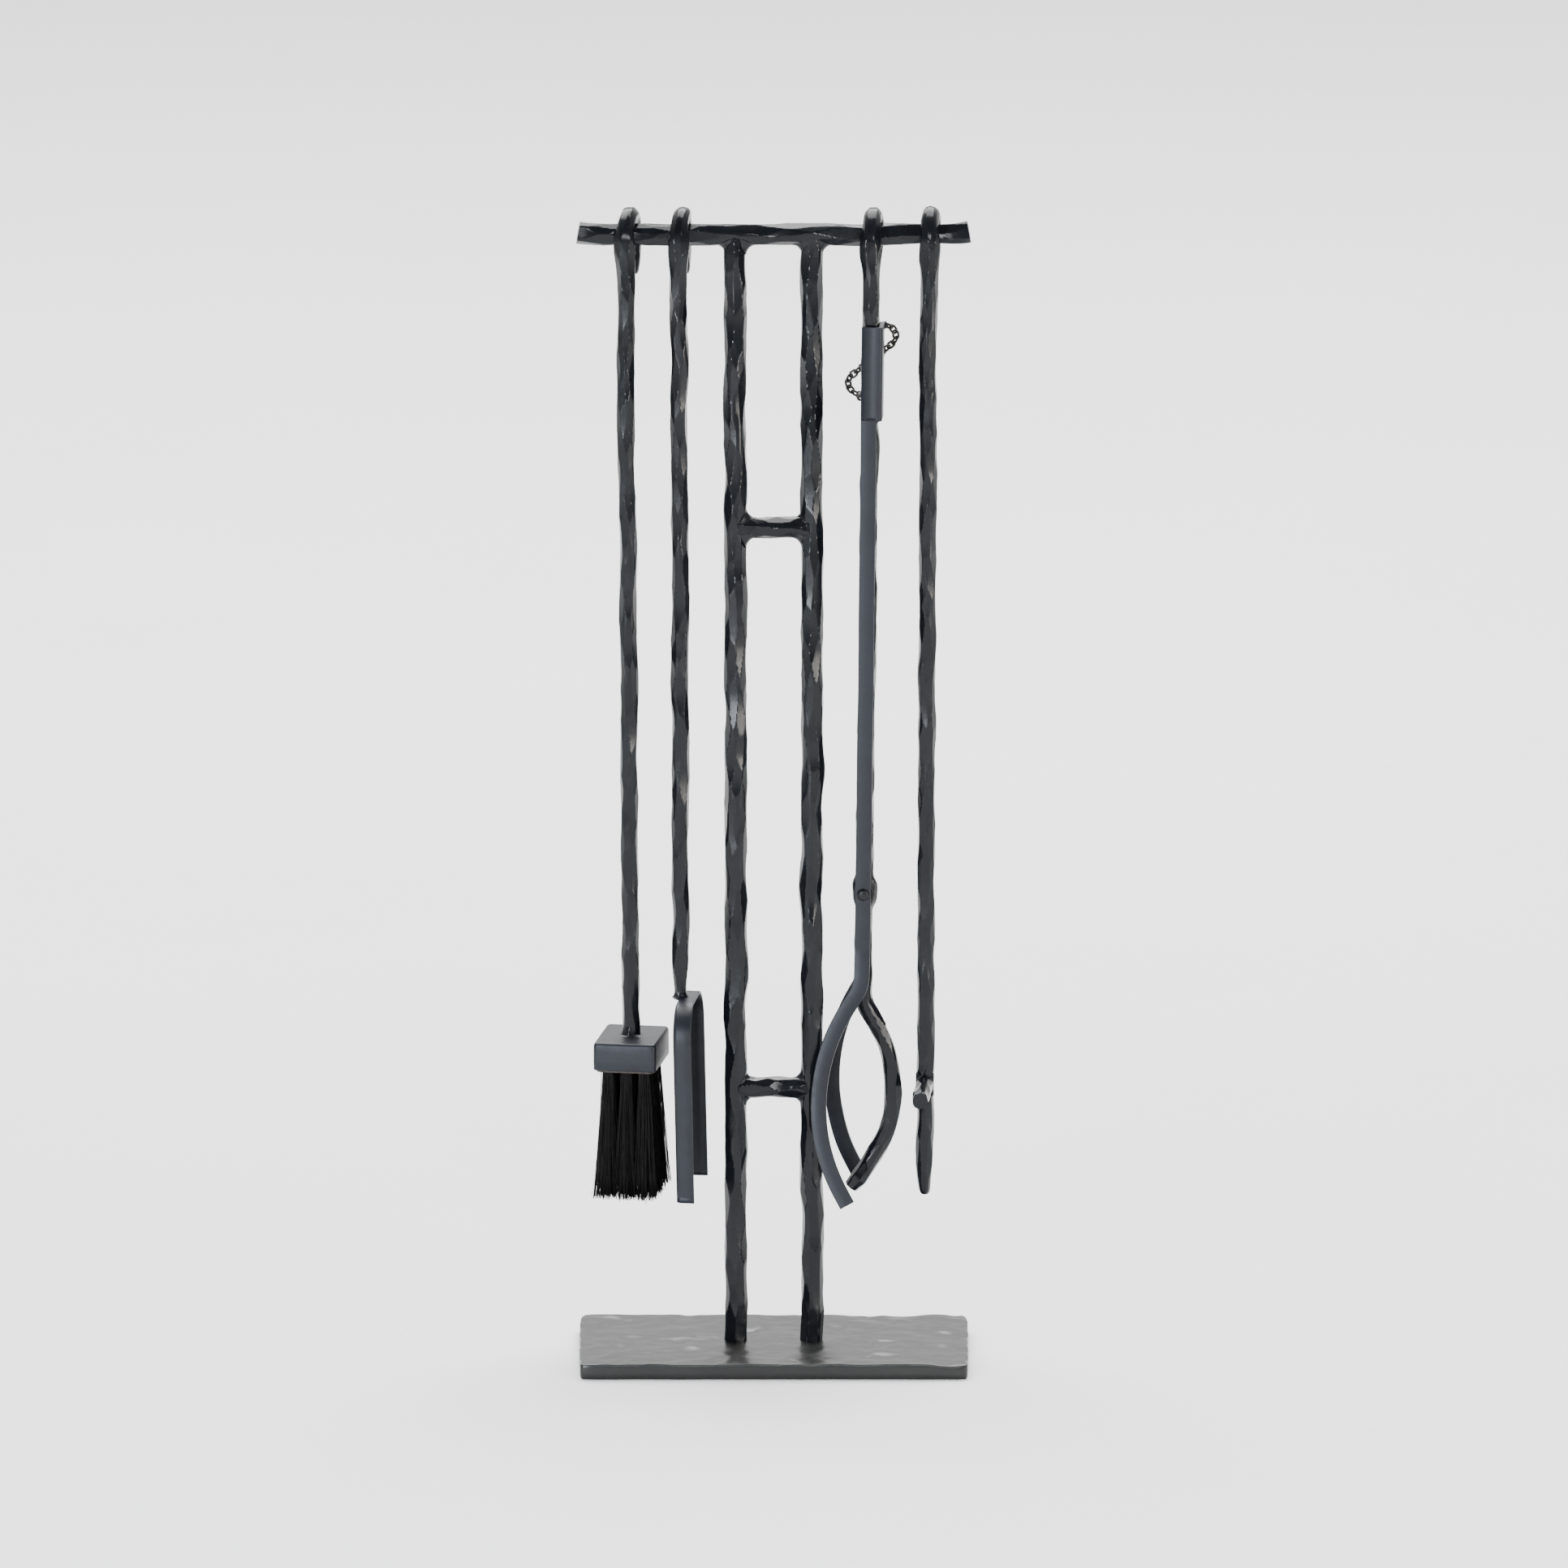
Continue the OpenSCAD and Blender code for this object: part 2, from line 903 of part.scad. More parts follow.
module poker_bar() {
    color(steel_color)
    in_poker() {
        hooked_bar(poker_tip_z + point_len + seam_gap);
        translate([0, shaft_y, poker_tip_z + point_len])
        bar_seam();
        translate([0, shaft_y, poker_tip_z])
        cylinder(h = point_len - seam_gap, r1 = point_tip_r, r2 = tool_r);
    }
}

module spur_cylinder(r, len) {
    translate([0, shaft_y, spur_z])
    rotate([90, 0, 0])
    cylinder(h = len, r = r);
}

module shaft_cylinder() {
    translate([0, shaft_y, spur_z - 2 * spur_weld_r])
    cylinder(h = 4 * spur_weld_r, r = tool_r);
}

module poker_spur() {
    color(steel_color)
    in_poker()
    difference() {
        spur_cylinder(tool_r, spur_len);
        shaft_cylinder();
    }
}

module spur_weld() {
    color(weld_color)
    in_poker()
    difference() {
        spur_cylinder(spur_weld_r, spur_weld_len);
        spur_cylinder(tool_r, spur_len);
        shaft_cylinder();
        translate([-2 * spur_weld_r, shaft_y, spur_z - 2 * spur_weld_r])
        cube([4 * spur_weld_r, 4 * spur_weld_r, 4 * spur_weld_r]);
    }
}

// ---- nodes ----

base_plate();
left_upright();
right_upright();
lower_rung();
upper_rung();
hanging_bar();
rung_welds();
bar_welds();
base_screws();
brush_handle();
brush_weld();
brush_cover();
brush_core();
bristle_tufts();
shovel_handle();
shovel_pan();
shovel_weld();
tongs_bar();
tongs_rivet();
rivet_washers();
chain_anchor();
tongs_lever();
tongs_chain();
chain_weld();
poker_bar();
poker_spur();
spur_weld();
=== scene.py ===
import json
import math

import bpy
import numpy as np
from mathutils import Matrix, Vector


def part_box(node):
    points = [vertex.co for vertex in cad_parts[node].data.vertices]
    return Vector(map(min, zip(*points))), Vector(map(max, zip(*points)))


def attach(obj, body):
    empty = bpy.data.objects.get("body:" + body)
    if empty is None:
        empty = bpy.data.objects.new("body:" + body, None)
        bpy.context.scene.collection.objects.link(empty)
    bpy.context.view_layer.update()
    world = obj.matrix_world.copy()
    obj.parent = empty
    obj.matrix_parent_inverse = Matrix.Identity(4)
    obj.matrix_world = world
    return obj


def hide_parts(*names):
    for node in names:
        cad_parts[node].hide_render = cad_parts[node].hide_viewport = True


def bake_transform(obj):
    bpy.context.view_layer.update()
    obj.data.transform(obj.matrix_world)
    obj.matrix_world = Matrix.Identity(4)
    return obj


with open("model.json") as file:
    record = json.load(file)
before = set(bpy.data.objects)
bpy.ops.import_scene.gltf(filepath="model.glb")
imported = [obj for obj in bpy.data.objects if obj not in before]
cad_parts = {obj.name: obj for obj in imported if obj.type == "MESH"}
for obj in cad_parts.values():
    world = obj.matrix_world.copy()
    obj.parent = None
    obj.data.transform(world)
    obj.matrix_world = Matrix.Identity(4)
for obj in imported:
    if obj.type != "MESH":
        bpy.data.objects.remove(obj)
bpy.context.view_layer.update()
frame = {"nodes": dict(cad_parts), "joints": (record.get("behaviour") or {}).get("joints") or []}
JOINTS = {j["name"]: j for j in frame["joints"]}
MM = 0.001

# ---------------------------------------------------------------- sizes, in millimetres
BAR_Z = JOINTS["brush_swing"]["pos_m"][2] * 1000
TOOL_R = 5.75
HOOK_R = 14.75
HOOK_Z = 774.35
SHAFT_Y = -HOOK_R
CURL = math.radians(8)
TIP_LEN, TIP_R = 26, 3.3
AROUND = 72  # points around a hammered bar
LOOP_FRONT = 45  # a hook path's points after this one are past the loop's crown
SHAFT_START = 70  # and after this one they are on the straight shaft
RIDGE_ANGLE = 11  # degrees between two hammer flats that show as a crisp ridge
PLACES = {  # position along the bar, turn, backward lean, sideways lean
    "brush": (-97.7, 10.0, 2.18, -0.35),
    "shovel": (-62.4, 6.8, 2.26, -0.12),
    "tongs": (67.3, 4.5, 2.47, 0.62),
    "poker": (105.9, 4.0, 2.67, 0.2),
}


def node_box(name):
    lo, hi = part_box(name)
    return np.array(lo) * 1000, np.array(hi) * 1000


# ---------------------------------------------------------------- placing
def turn(axis, degrees):
    c, s = math.cos(math.radians(degrees)), math.sin(math.radians(degrees))
    if axis == "x":
        return np.array([[1, 0, 0], [0, c, -s], [0, s, c]])
    if axis == "y":
        return np.array([[c, 0, s], [0, 1, 0], [-s, 0, c]])
    return np.array([[c, -s, 0], [s, c, 0], [0, 0, 1]])


def hung(tool, points):
    """Takes points from a tool's own upright frame to where it hangs."""
    x, yaw, lean, side = PLACES[tool]
    m = turn("x", lean) @ turn("y", side) @ turn("z", -yaw)
    return (np.asarray(points, float) - (0, 0, BAR_Z)) @ m.T + (x, 0, BAR_Z)


# ---------------------------------------------------------------- mesh building
class Build:
    """Collects vertices and faces for one piece, in millimetres."""

    def __init__(self):
        self.verts, self.faces, self.flat = [], [], []
        self.count = 0

    def add(self, verts, faces, flat=False):
        verts = np.asarray(verts, float)
        base = self.count
        self.verts.append(verts)
        for face in faces:
            self.faces.append(tuple(int(i) + base for i in face))
            self.flat.append(flat)
        self.count += len(verts)
        return self

    def place(self, tool):
        self.verts = [hung(tool, v) for v in self.verts]
        return self

    def object(self, name, material, body, replaces=(), slot=None, crisp=None):
        mesh = bpy.data.meshes.new(name)
        mesh.from_pydata((np.concatenate(self.verts) * MM).tolist(), [], self.faces)
        mesh.validate()
        mesh.polygons.foreach_set("use_smooth", [not f for f in self.flat])
        mesh.update()
        if crisp:
            mesh.set_sharp_from_angle(angle=math.radians(crisp))
        obj = bpy.data.objects.new(name, mesh)
        bpy.context.scene.collection.objects.link(obj)
        mesh.materials.append(material)
        if body:
            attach(obj, body)
        if replaces:
            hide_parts(*replaces)
        return obj


def grid_faces(rows, columns, wrap=True, flip=False):
    faces = []
    for i in range(rows - 1):
        for j in range(columns if wrap else columns - 1):
            k = (j + 1) % columns
            quad = (i * columns + j, i * columns + k, (i + 1) * columns + k, (i + 1) * columns + j)
            faces.append(quad[::-1] if flip else quad)
    return faces


def path_lengths(points):
    steps = np.linalg.norm(np.diff(points, axis=0), axis=1)
    return np.concatenate([[0], np.cumsum(steps)])


def frames_along(points, first):
    """Unit vectors across a path, carried along it without twist."""
    tangents = np.gradient(points, axis=0)
    tangents /= np.linalg.norm(tangents, axis=1)[:, None]
    across, other = [], []
    u = np.array(first, float)
    for t in tangents:
        u = u - t * (u @ t)
        u /= np.linalg.norm(u)
        across.append(u)
        other.append(np.cross(t, u))
    return np.array(across), np.array(other), tangents


def smooth_noise(rng, n, step, size):
    """Slow random wave of n samples."""
    knots = max(4, int(n / step) + 4)
    values = rng.normal(0, size, knots)
    x = np.linspace(1, knots - 2, n)
    i = np.floor(x).astype(int)
    f = x - i
    f = f * f * (3 - 2 * f)
    return values[i] * (1 - f) + values[np.minimum(i + 1, knots - 1)] * f


def hammered_tube(points, radius, seed, first=(1, 0, 0), around=AROUND, depth=0.10, pitch=15.0,
                  sides=6, wander=0.4, stretch=None, cap_start=True, cap_end=True, dome=0.12):
    """Round bar along points, worked over with hammer flats. radius is one per point."""
    rng = np.random.default_rng(seed)
    points = np.asarray(points, float)
    radius = np.asarray(radius, float)
    s = path_lengths(points)
    u, v, t = frames_along(points, first)
    n = len(points)
    drift = smooth_noise(rng, n, 22, wander)[:, None] * u + smooth_noise(rng, n, 22, wander)[:, None] * v
    fade = np.clip(np.minimum(s, s[-1] - s) / 12.0, 0, 1)[:, None]
    points = points + drift * fade
    theta = np.linspace(0, 2 * math.pi, around, endpoint=False)
    # sizes here are shares of the bar's radius; the flats start from a slightly fatter bar
    r = np.full((n, around), 1.085)
    at = -pitch
    turned = rng.uniform(0, 2 * math.pi)
    while at < s[-1] + pitch:
        turned += rng.uniform(0.3, 0.75)
        for j in range(sides):
            centre = turned + 2 * math.pi * (j + rng.uniform(-0.22, 0.22)) / sides
            mid = at + rng.uniform(-0.5, 0.5) * pitch
            cut = 1.015 - depth * rng.uniform(0.0, 1.0)
            reach = pitch * rng.uniform(0.7, 1.5)
            rise, tilt = 0.13 / reach ** 2, rng.normal(0, 0.0032)
            rows = np.abs(s - mid) < 2.6 * pitch
            if not rows.any():
                continue
            c = np.cos(theta - centre)[None, :]
            along = s[rows, None] - mid
            plane = (cut + rise * along ** 2 + tilt * along) / np.maximum(c, 0.35)
            r[rows] = np.minimum(r[rows], np.where(c > 0.45, plane, 9.0))
        at += pitch * rng.uniform(0.7, 1.15)
    r = np.maximum(r, 0.84) * radius[:, None]
    if stretch is not None:
        su, sv = stretch
    else:
        su = sv = np.ones(n)
    ring = (points[:, None, :]
            + (r * np.cos(theta))[..., None] * u[:, None, :] * su[:, None, None]
            + (r * np.sin(theta))[..., None] * v[:, None, :] * sv[:, None, None])
    verts = ring.reshape(-1, 3)
    faces = grid_faces(n, around)
    extra = []
    for wanted, row, direction in ((cap_start, 0, -1), (cap_end, n - 1, 1)):
        if not wanted:
            continue
        centre = points[row]
        last = [row * around + j for j in range(around)]
        for shrink, push in ((0.9, 0.5), (0.55, 0.9), (0.0, 1.0)):
            base = len(verts) + len(extra)
            out = direction * t[row] * dome * radius[row] * push
            if shrink:
                loop = [centre + (verts[row * around + j] - centre) * shrink + out for j in range(around)]
                extra += loop
                here = [base + j for j in range(around)]
                for j in range(around):
                    k = (j + 1) % around
                    quad = (last[j], last[k], here[k], here[j])
                    faces.append(quad if direction > 0 else quad[::-1])
                last = here
            else:
                extra.append(centre + out)
                for j in range(around):
                    k = (j + 1) % around
                    tri = (last[j], last[k], base)
                    faces.append(tri if direction > 0 else tri[::-1])
    if extra:
        verts = np.concatenate([verts, np.array(extra)])
    return verts, faces


def line(a, b, step=1.3):
    a, b = np.array(a, float), np.array(b, float)
    n = max(2, int(np.linalg.norm(b - a) / step) + 1)
    return a + (b - a) * np.linspace(0, 1, n)[:, None]


def join(*runs):
    out = [runs[0]]
    for run in runs[1:]:
        out.append(run[1:])
    return np.concatenate(out)


def hook_path(low_z):
    """Centreline from the hook's tip, over the bar and down the shaft, with each point's radius."""
    end = np.array([0, HOOK_R * math.cos(CURL), HOOK_Z - HOOK_R * math.sin(CURL)])
    down = np.array([0, -math.sin(CURL), -math.cos(CURL)])
    tip = line(end + TIP_LEN * down, end, 1.3)
    angles = np.linspace(-CURL, math.pi, 44)
    arc = np.stack([0 * angles, HOOK_R * np.cos(angles), HOOK_Z + HOOK_R * np.sin(angles)], 1)
    shaft = line((0, SHAFT_Y, HOOK_Z), (0, SHAFT_Y, low_z))
    path = join(tip, arc, shaft)
    s = path_lengths(path)
    radius = np.full(len(path), TOOL_R)
    taper = s < TIP_LEN
    radius[taper] = TIP_R + (TOOL_R - TIP_R) * np.sqrt(s[taper] / TIP_LEN)
    return path, radius


def on_shaft(path):
    return np.arange(len(path)) > SHAFT_START


def hook_spread(path):
    """The loop's front is beaten wider, sideways only."""
    front = np.arange(len(path)) > LOOP_FRONT
    wide = 1 + 0.24 * np.exp(-((path[:, 2] - 769) / 11.0) ** 2) * front
    return wide, np.ones(len(path))


def arc_run(start, heading, angle, r, left, step=1.2):
    """Arc in a plane as (points, end heading). heading is in degrees from -Z toward +X."""
    n = max(3, int(math.radians(abs(angle)) * r / step) + 1)
    side = 1 if left else -1
    h = math.radians(heading)
    centre = np.array(start) + side * r * np.array([math.cos(h), math.sin(h)])
    turned = [h + side * math.radians(angle) * k / (n - 1) for k in range(n)]
    points = [centre - side * r * np.array([math.cos(a), math.sin(a)]) for a in turned]
    return np.array(points), heading + side * angle


def rounded_section(w, t, bevel, n=4):
    """Rectangle with rounded corners, w along the first axis."""
    out = []
    for cx, cy, start in ((1, 1, 0), (-1, 1, 90), (-1, -1, 180), (1, -1, 270)):
        for k in range(n + 1):
            a = math.radians(start + 90 * k / n)
            out.append((cx * (w / 2 - bevel) + bevel * math.cos(a),
                        cy * (t / 2 - bevel) + bevel * math.sin(a)))
    return np.array(out)


def swept(points, u, v, section):
    """Sweeps a closed section along points, with flat ends. u and v are one per point."""
    n, m = len(points), len(section)
    ring = (points[:, None, :] + section[None, :, 0, None] * u[:, None, :]
            + section[None, :, 1, None] * v[:, None, :])
    verts = ring.reshape(-1, 3)
    t = points[1] - points[0]
    flip = float(np.dot(np.cross(u[0], v[0]), t)) < 0
    faces = grid_faces(n, m, flip=flip)
    first = tuple(range(m))
    last = tuple((n - 1) * m + j for j in range(m))
    caps = [first if flip else first[::-1], last[::-1] if flip else last]
    return verts, faces, caps


def ball(centre, r, squash=(1, 1, 1), rows=14, columns=24, lumps=0.0, seed=1):
    rng = np.random.default_rng(seed)
    verts, faces = [], []
    a, b, c = rng.uniform(0, 6, 3)
    for i in range(rows + 1):
        p = math.pi * i / rows
        for j in range(columns):
            q = 2 * math.pi * j / columns
            d = np.array([math.sin(p) * math.cos(q), math.sin(p) * math.sin(q), math.cos(p)])
            k = 1 + lumps * math.sin(3 * d[0] + a) * math.cos(4 * d[1] + b) * math.sin(5 * d[2] + c)
            verts.append(np.array(centre) + d * r * k * np.array(squash))
    for i in range(rows):
        for j in range(columns):
            k = (j + 1) % columns
            faces.append((i * columns + j, (i + 1) * columns + j, (i + 1) * columns + k, i * columns + k))
    return np.array(verts), faces


# ---------------------------------------------------------------- materials
def new_material(name):
    material = bpy.data.materials.new(name)
    material.use_nodes = True
    nodes, links = material.node_tree.nodes, material.node_tree.links
    shader = nodes["Principled BSDF"]
    coordinates = nodes.new("ShaderNodeTexCoord")
    return material, nodes, links, shader, coordinates.outputs["Object"]


def noise(nodes, links, vector, scale, detail=6.0, roughness=0.6):
    node = nodes.new("ShaderNodeTexNoise")
    node.inputs["Scale"].default_value = scale
    node.inputs["Detail"].default_value = detail
    node.inputs["Roughness"].default_value = roughness
    links.new(vector, node.inputs["Vector"])
    return node.outputs["Fac"]


def ramp(nodes, links, value, stops):
    node = nodes.new("ShaderNodeValToRGB")
    while len(node.color_ramp.elements) < len(stops):
        node.color_ramp.elements.new(0.5)
    for element, (place, color) in zip(node.color_ramp.elements, stops):
        element.position = place
        element.color = (*color, 1) if len(color) == 3 else color
    links.new(value, node.inputs["Fac"])
    return node.outputs["Color"]


def spread(nodes, links, value, low, high):
    node = nodes.new("ShaderNodeMapRange")
    node.inputs["To Min"].default_value = low
    node.inputs["To Max"].default_value = high
    links.new(value, node.inputs["Value"])
    return node.outputs["Result"]


def bumps(nodes, links, heights):
    """Chains bump nodes; heights is a list of (value, strength, distance)."""
    normal = None
    for value, strength, distance in heights:
        node = nodes.new("ShaderNodeBump")
        node.inputs["Strength"].default_value = strength
        node.inputs["Distance"].default_value = distance
        links.new(value, node.inputs["Height"])
        if normal is not None:
            links.new(normal, node.inputs["Normal"])
        normal = node.outputs["Normal"]
    return normal


def steel(name, dark, light, rough, fine=0.25, coarse=0.35, coarse_scale=90, specular=0.5):
    """Waxed forge finish: dark skin, faint scale, small pits and a satin gloss."""
    material, nodes, links, shader, vector = new_material(name)
    cloud = noise(nodes, links, vector, 45, 5)
    tone = ramp(nodes, links, cloud, [(0.3, dark), (0.62, light), (0.8, dark)])
    links.new(tone, shader.inputs["Base Color"])
    wear = noise(nodes, links, vector, 160, 7, 0.65)
    links.new(spread(nodes, links, wear, rough[0], rough[1]), shader.inputs["Roughness"])
    shader.inputs["IOR"].default_value = 1.5
    shader.inputs["Specular IOR Level"].default_value = specular
    grain = noise(nodes, links, vector, 900, 5, 0.7)
    dents = noise(nodes, links, vector, coarse_scale, 3, 0.5)
    pits = nodes.new("ShaderNodeTexVoronoi")
    pits.inputs["Scale"].default_value = 420
    links.new(vector, pits.inputs["Vector"])
    pit = ramp(nodes, links, pits.outputs["Distance"], [(0.0, (0, 0, 0)), (0.16, (1, 1, 1))])
    links.new(bumps(nodes, links, [(dents, coarse, 0.0012), (grain, fine, 0.0002), (pit, 0.12, 0.0002)]),
              shader.inputs["Normal"])
    return material


def bristle_material():
    material, nodes, links, shader, vector = new_material("bristle_fibre")
    info = nodes.new("ShaderNodeObjectInfo")
    streak = nodes.new("ShaderNodeMapping")
    streak.inputs["Scale"].default_value = (1.0, 1.0, 0.04)
    links.new(vector, streak.inputs["Vector"])
    links.new(info.outputs["Random"], streak.inputs["Rotation"])
    cloud = noise(nodes, links, streak.outputs["Vector"], 700, 4)
    links.new(ramp(nodes, links, cloud, [(0.3, (0.002, 0.002, 0.002)), (0.6, (0.006, 0.0055, 0.0055)),
                                         (0.85, (0.016, 0.014, 0.013))]), shader.inputs["Base Color"])
    links.new(spread(nodes, links, cloud, 0.42, 0.6), shader.inputs["Roughness"])
    shader.inputs["Specular IOR Level"].default_value = 0.15
    return material


def wood_material():
    material, nodes, links, shader, vector = new_material("block_wood")
    rings = nodes.new("ShaderNodeTexWave")
    rings.inputs["Scale"].default_value = 60
    rings.inputs["Distortion"].default_value = 4
    links.new(vector, rings.inputs["Vector"])
    stops = [(0.2, (0.012, 0.008, 0.006)), (0.8, (0.024, 0.016, 0.011))]
    links.new(ramp(nodes, links, rings.outputs["Fac"], stops), shader.inputs["Base Color"])
    grain = noise(nodes, links, vector, 500, 6)
    links.new(spread(nodes, links, grain, 0.6, 0.8), shader.inputs["Roughness"])
    links.new(bumps(nodes, links, [(grain, 0.3, 0.0003)]), shader.inputs["Normal"])
    return material


hammered = steel("hammered_steel", (0.0022, 0.0026, 0.0036), (0.005, 0.006, 0.008), (0.1, 0.25), coarse=0.08,
                 fine=0.15, specular=0.2)
base_steel = steel("base_steel", (0.0022, 0.0024, 0.0023), (0.005, 0.0053, 0.0052), (0.24, 0.38), coarse=0.3,
                   coarse_scale=70, specular=0.45)
sheet_steel = steel("sheet_steel", (0.006, 0.0075, 0.011), (0.009, 0.011, 0.016), (0.32, 0.48), coarse=0.12,
                    coarse_scale=60, fine=0.35, specular=0.25)
weld_metal = steel("weld_metal", (0.003, 0.0035, 0.0045), (0.008, 0.009, 0.011), (0.3, 0.44), coarse=0.18,
                   coarse_scale=220, specular=0.2)
chain_metal = steel("chain_metal", (0.006, 0.0045, 0.0035), (0.014, 0.011, 0.009), (0.25, 0.45), coarse=0.1,
                    specular=0.3)
bristle = bristle_material()
block_wood = wood_material()


def forged(shape, node, body, tool=None):
    """A hammered bar that stands for one CAD bar. shape is its vertices and faces."""
    b = Build().add(*shape)
    if tool:
        b.place(tool)
    b.object(node + "_hammered", hammered, body, [node], "hammered_steel", crisp=RIDGE_ANGLE)


# ---------------------------------------------------------------- stand
UPRIGHT_R, RUNG_R, BAR_R = 7.4, 7.0, 7.2


def upright(name, seed):
    lo, hi = node_box(name)
    x, z0 = (lo[0] + hi[0]) / 2, lo[2]
    path = line((x, 0, z0), (x, 0, BAR_Z - 1.5))
    radius = np.full(len(path), UPRIGHT_R)
    verts, faces = hammered_tube(path, radius, seed, pitch=17, wander=0.5, cap_start=False)
    # the foot is cut flat where it stands on the plate
    verts[:AROUND, 2] = z0
    centre = len(verts)
    verts = np.concatenate([verts, [[x, 0, z0]]])
    faces += [((j + 1) % AROUND, j, centre) for j in range(AROUND)]
    forged((verts, faces), name, "stand")


def rung(name, seed):
    lo, hi = node_box(name)
    left, right = node_box("left_upright"), node_box("right_upright")
    x0, x1 = (left[0][0] + left[1][0]) / 2, (right[0][0] + right[1][0]) / 2
    z = (lo[2] + hi[2]) / 2
    path = line((x0 + 2, 0, z), (x1 - 2, 0, z), 0.6)
    gap = np.minimum(path[:, 0] - x0, x1 - path[:, 0]) - UPRIGHT_R
    near = np.clip(1 - gap / 7.5, 0, 1)
    radius = np.full(len(path), RUNG_R - 0.1) + 0.5 * near
    verts, faces = hammered_tube(path, radius, seed, first=(0, 0, 1), pitch=9, wander=0.2)
    forged((verts, faces), name, "stand")


def top_bar():
    half, bend, angle = 113.0, 100.0, math.radians(11)
    end, rise = half + bend * math.sin(angle), bend * (1 - math.cos(angle))
    out = []
    for x in np.arange(-end, end + 0.01, 1.2):
        over = abs(x) - half
        lift = bend - math.sqrt(max(bend ** 2 - over ** 2, 1)) if over > 0 else 0
        out.append((x, 0, BAR_Z + min(lift, rise)))
    path = np.array(out)
    radius = np.full(len(path), BAR_R)
    swell = np.clip((np.abs(path[:, 0]) - half + 4) / 22, 0, 1)
    verts, faces = hammered_tube(path, radius + 0.5 * swell, 31, first=(0, 0, 1), pitch=19, wander=0.3,
                                 dome=0.05)
    forged((verts, faces), "hanging_bar", "stand")


def fillet(b, x, z, sx, sz, r_up, r_across, reach, rng):
    """Concave web of ground weld metal in the corner between an upright and a cross bar."""
    ny, na = 25, 13
    deep = min(r_up, r_across) * 0.93
    verts = []
    wave = smooth_noise(rng, ny, 6, 0.25)
    for i in range(ny):
        y = -deep + 2 * deep * i / (ny - 1)
        cx = x + sx * (math.sqrt(r_up ** 2 - y * y) - 0.15)
        cz = z + sz * (math.sqrt(r_across ** 2 - y * y) - 0.15)
        big = reach * math.sqrt(max(0.02, 1 - (y / (deep * 1.02)) ** 2)) + wave[i]
        verts.append((cx - sx * 3, y, cz - sz * 3))
        for k in range(na):
            a = (math.pi / 2) * k / (na - 1)
            verts.append((cx + sx * big * (1 - math.sin(a)), y, cz + sz * big * (1 - math.cos(a))))
    flip = sx * sz > 0
    b.add(verts, grid_faces(ny, na + 1, flip=flip))
    ends = [tuple(range(na + 1)), tuple((ny - 1) * (na + 1) + k for k in range(na + 1))]
    b.add(verts, [ends[0][::-1] if not flip else ends[0], ends[1] if not flip else ends[1][::-1]])


def corner_welds():
    left, right = node_box("left_upright"), node_box("right_upright")
    rng = np.random.default_rng(3)
    for name, levels in (("rung_welds", ["lower_rung", "upper_rung"]), ("bar_welds", ["hanging_bar"])):
        b = Build()
        for level in levels:
            lo, hi = node_box(level)
            top = level == "hanging_bar"
            z, r = (BAR_Z, BAR_R) if top else ((lo[2] + hi[2]) / 2, RUNG_R)
            for box in (left, right):
                x = (box[0][0] + box[1][0]) / 2
                inward = 1 if x < 0 else -1
                for sx, sz in ((-1, -1), (1, -1)) if top else ((inward, 1), (inward, -1)):
                    fillet(b, x, z, sx, sz, UPRIGHT_R, r, rng.uniform(5.4, 7.4), rng)
        b.object(name + "_ground", weld_metal, "stand", [name], "weld_metal")


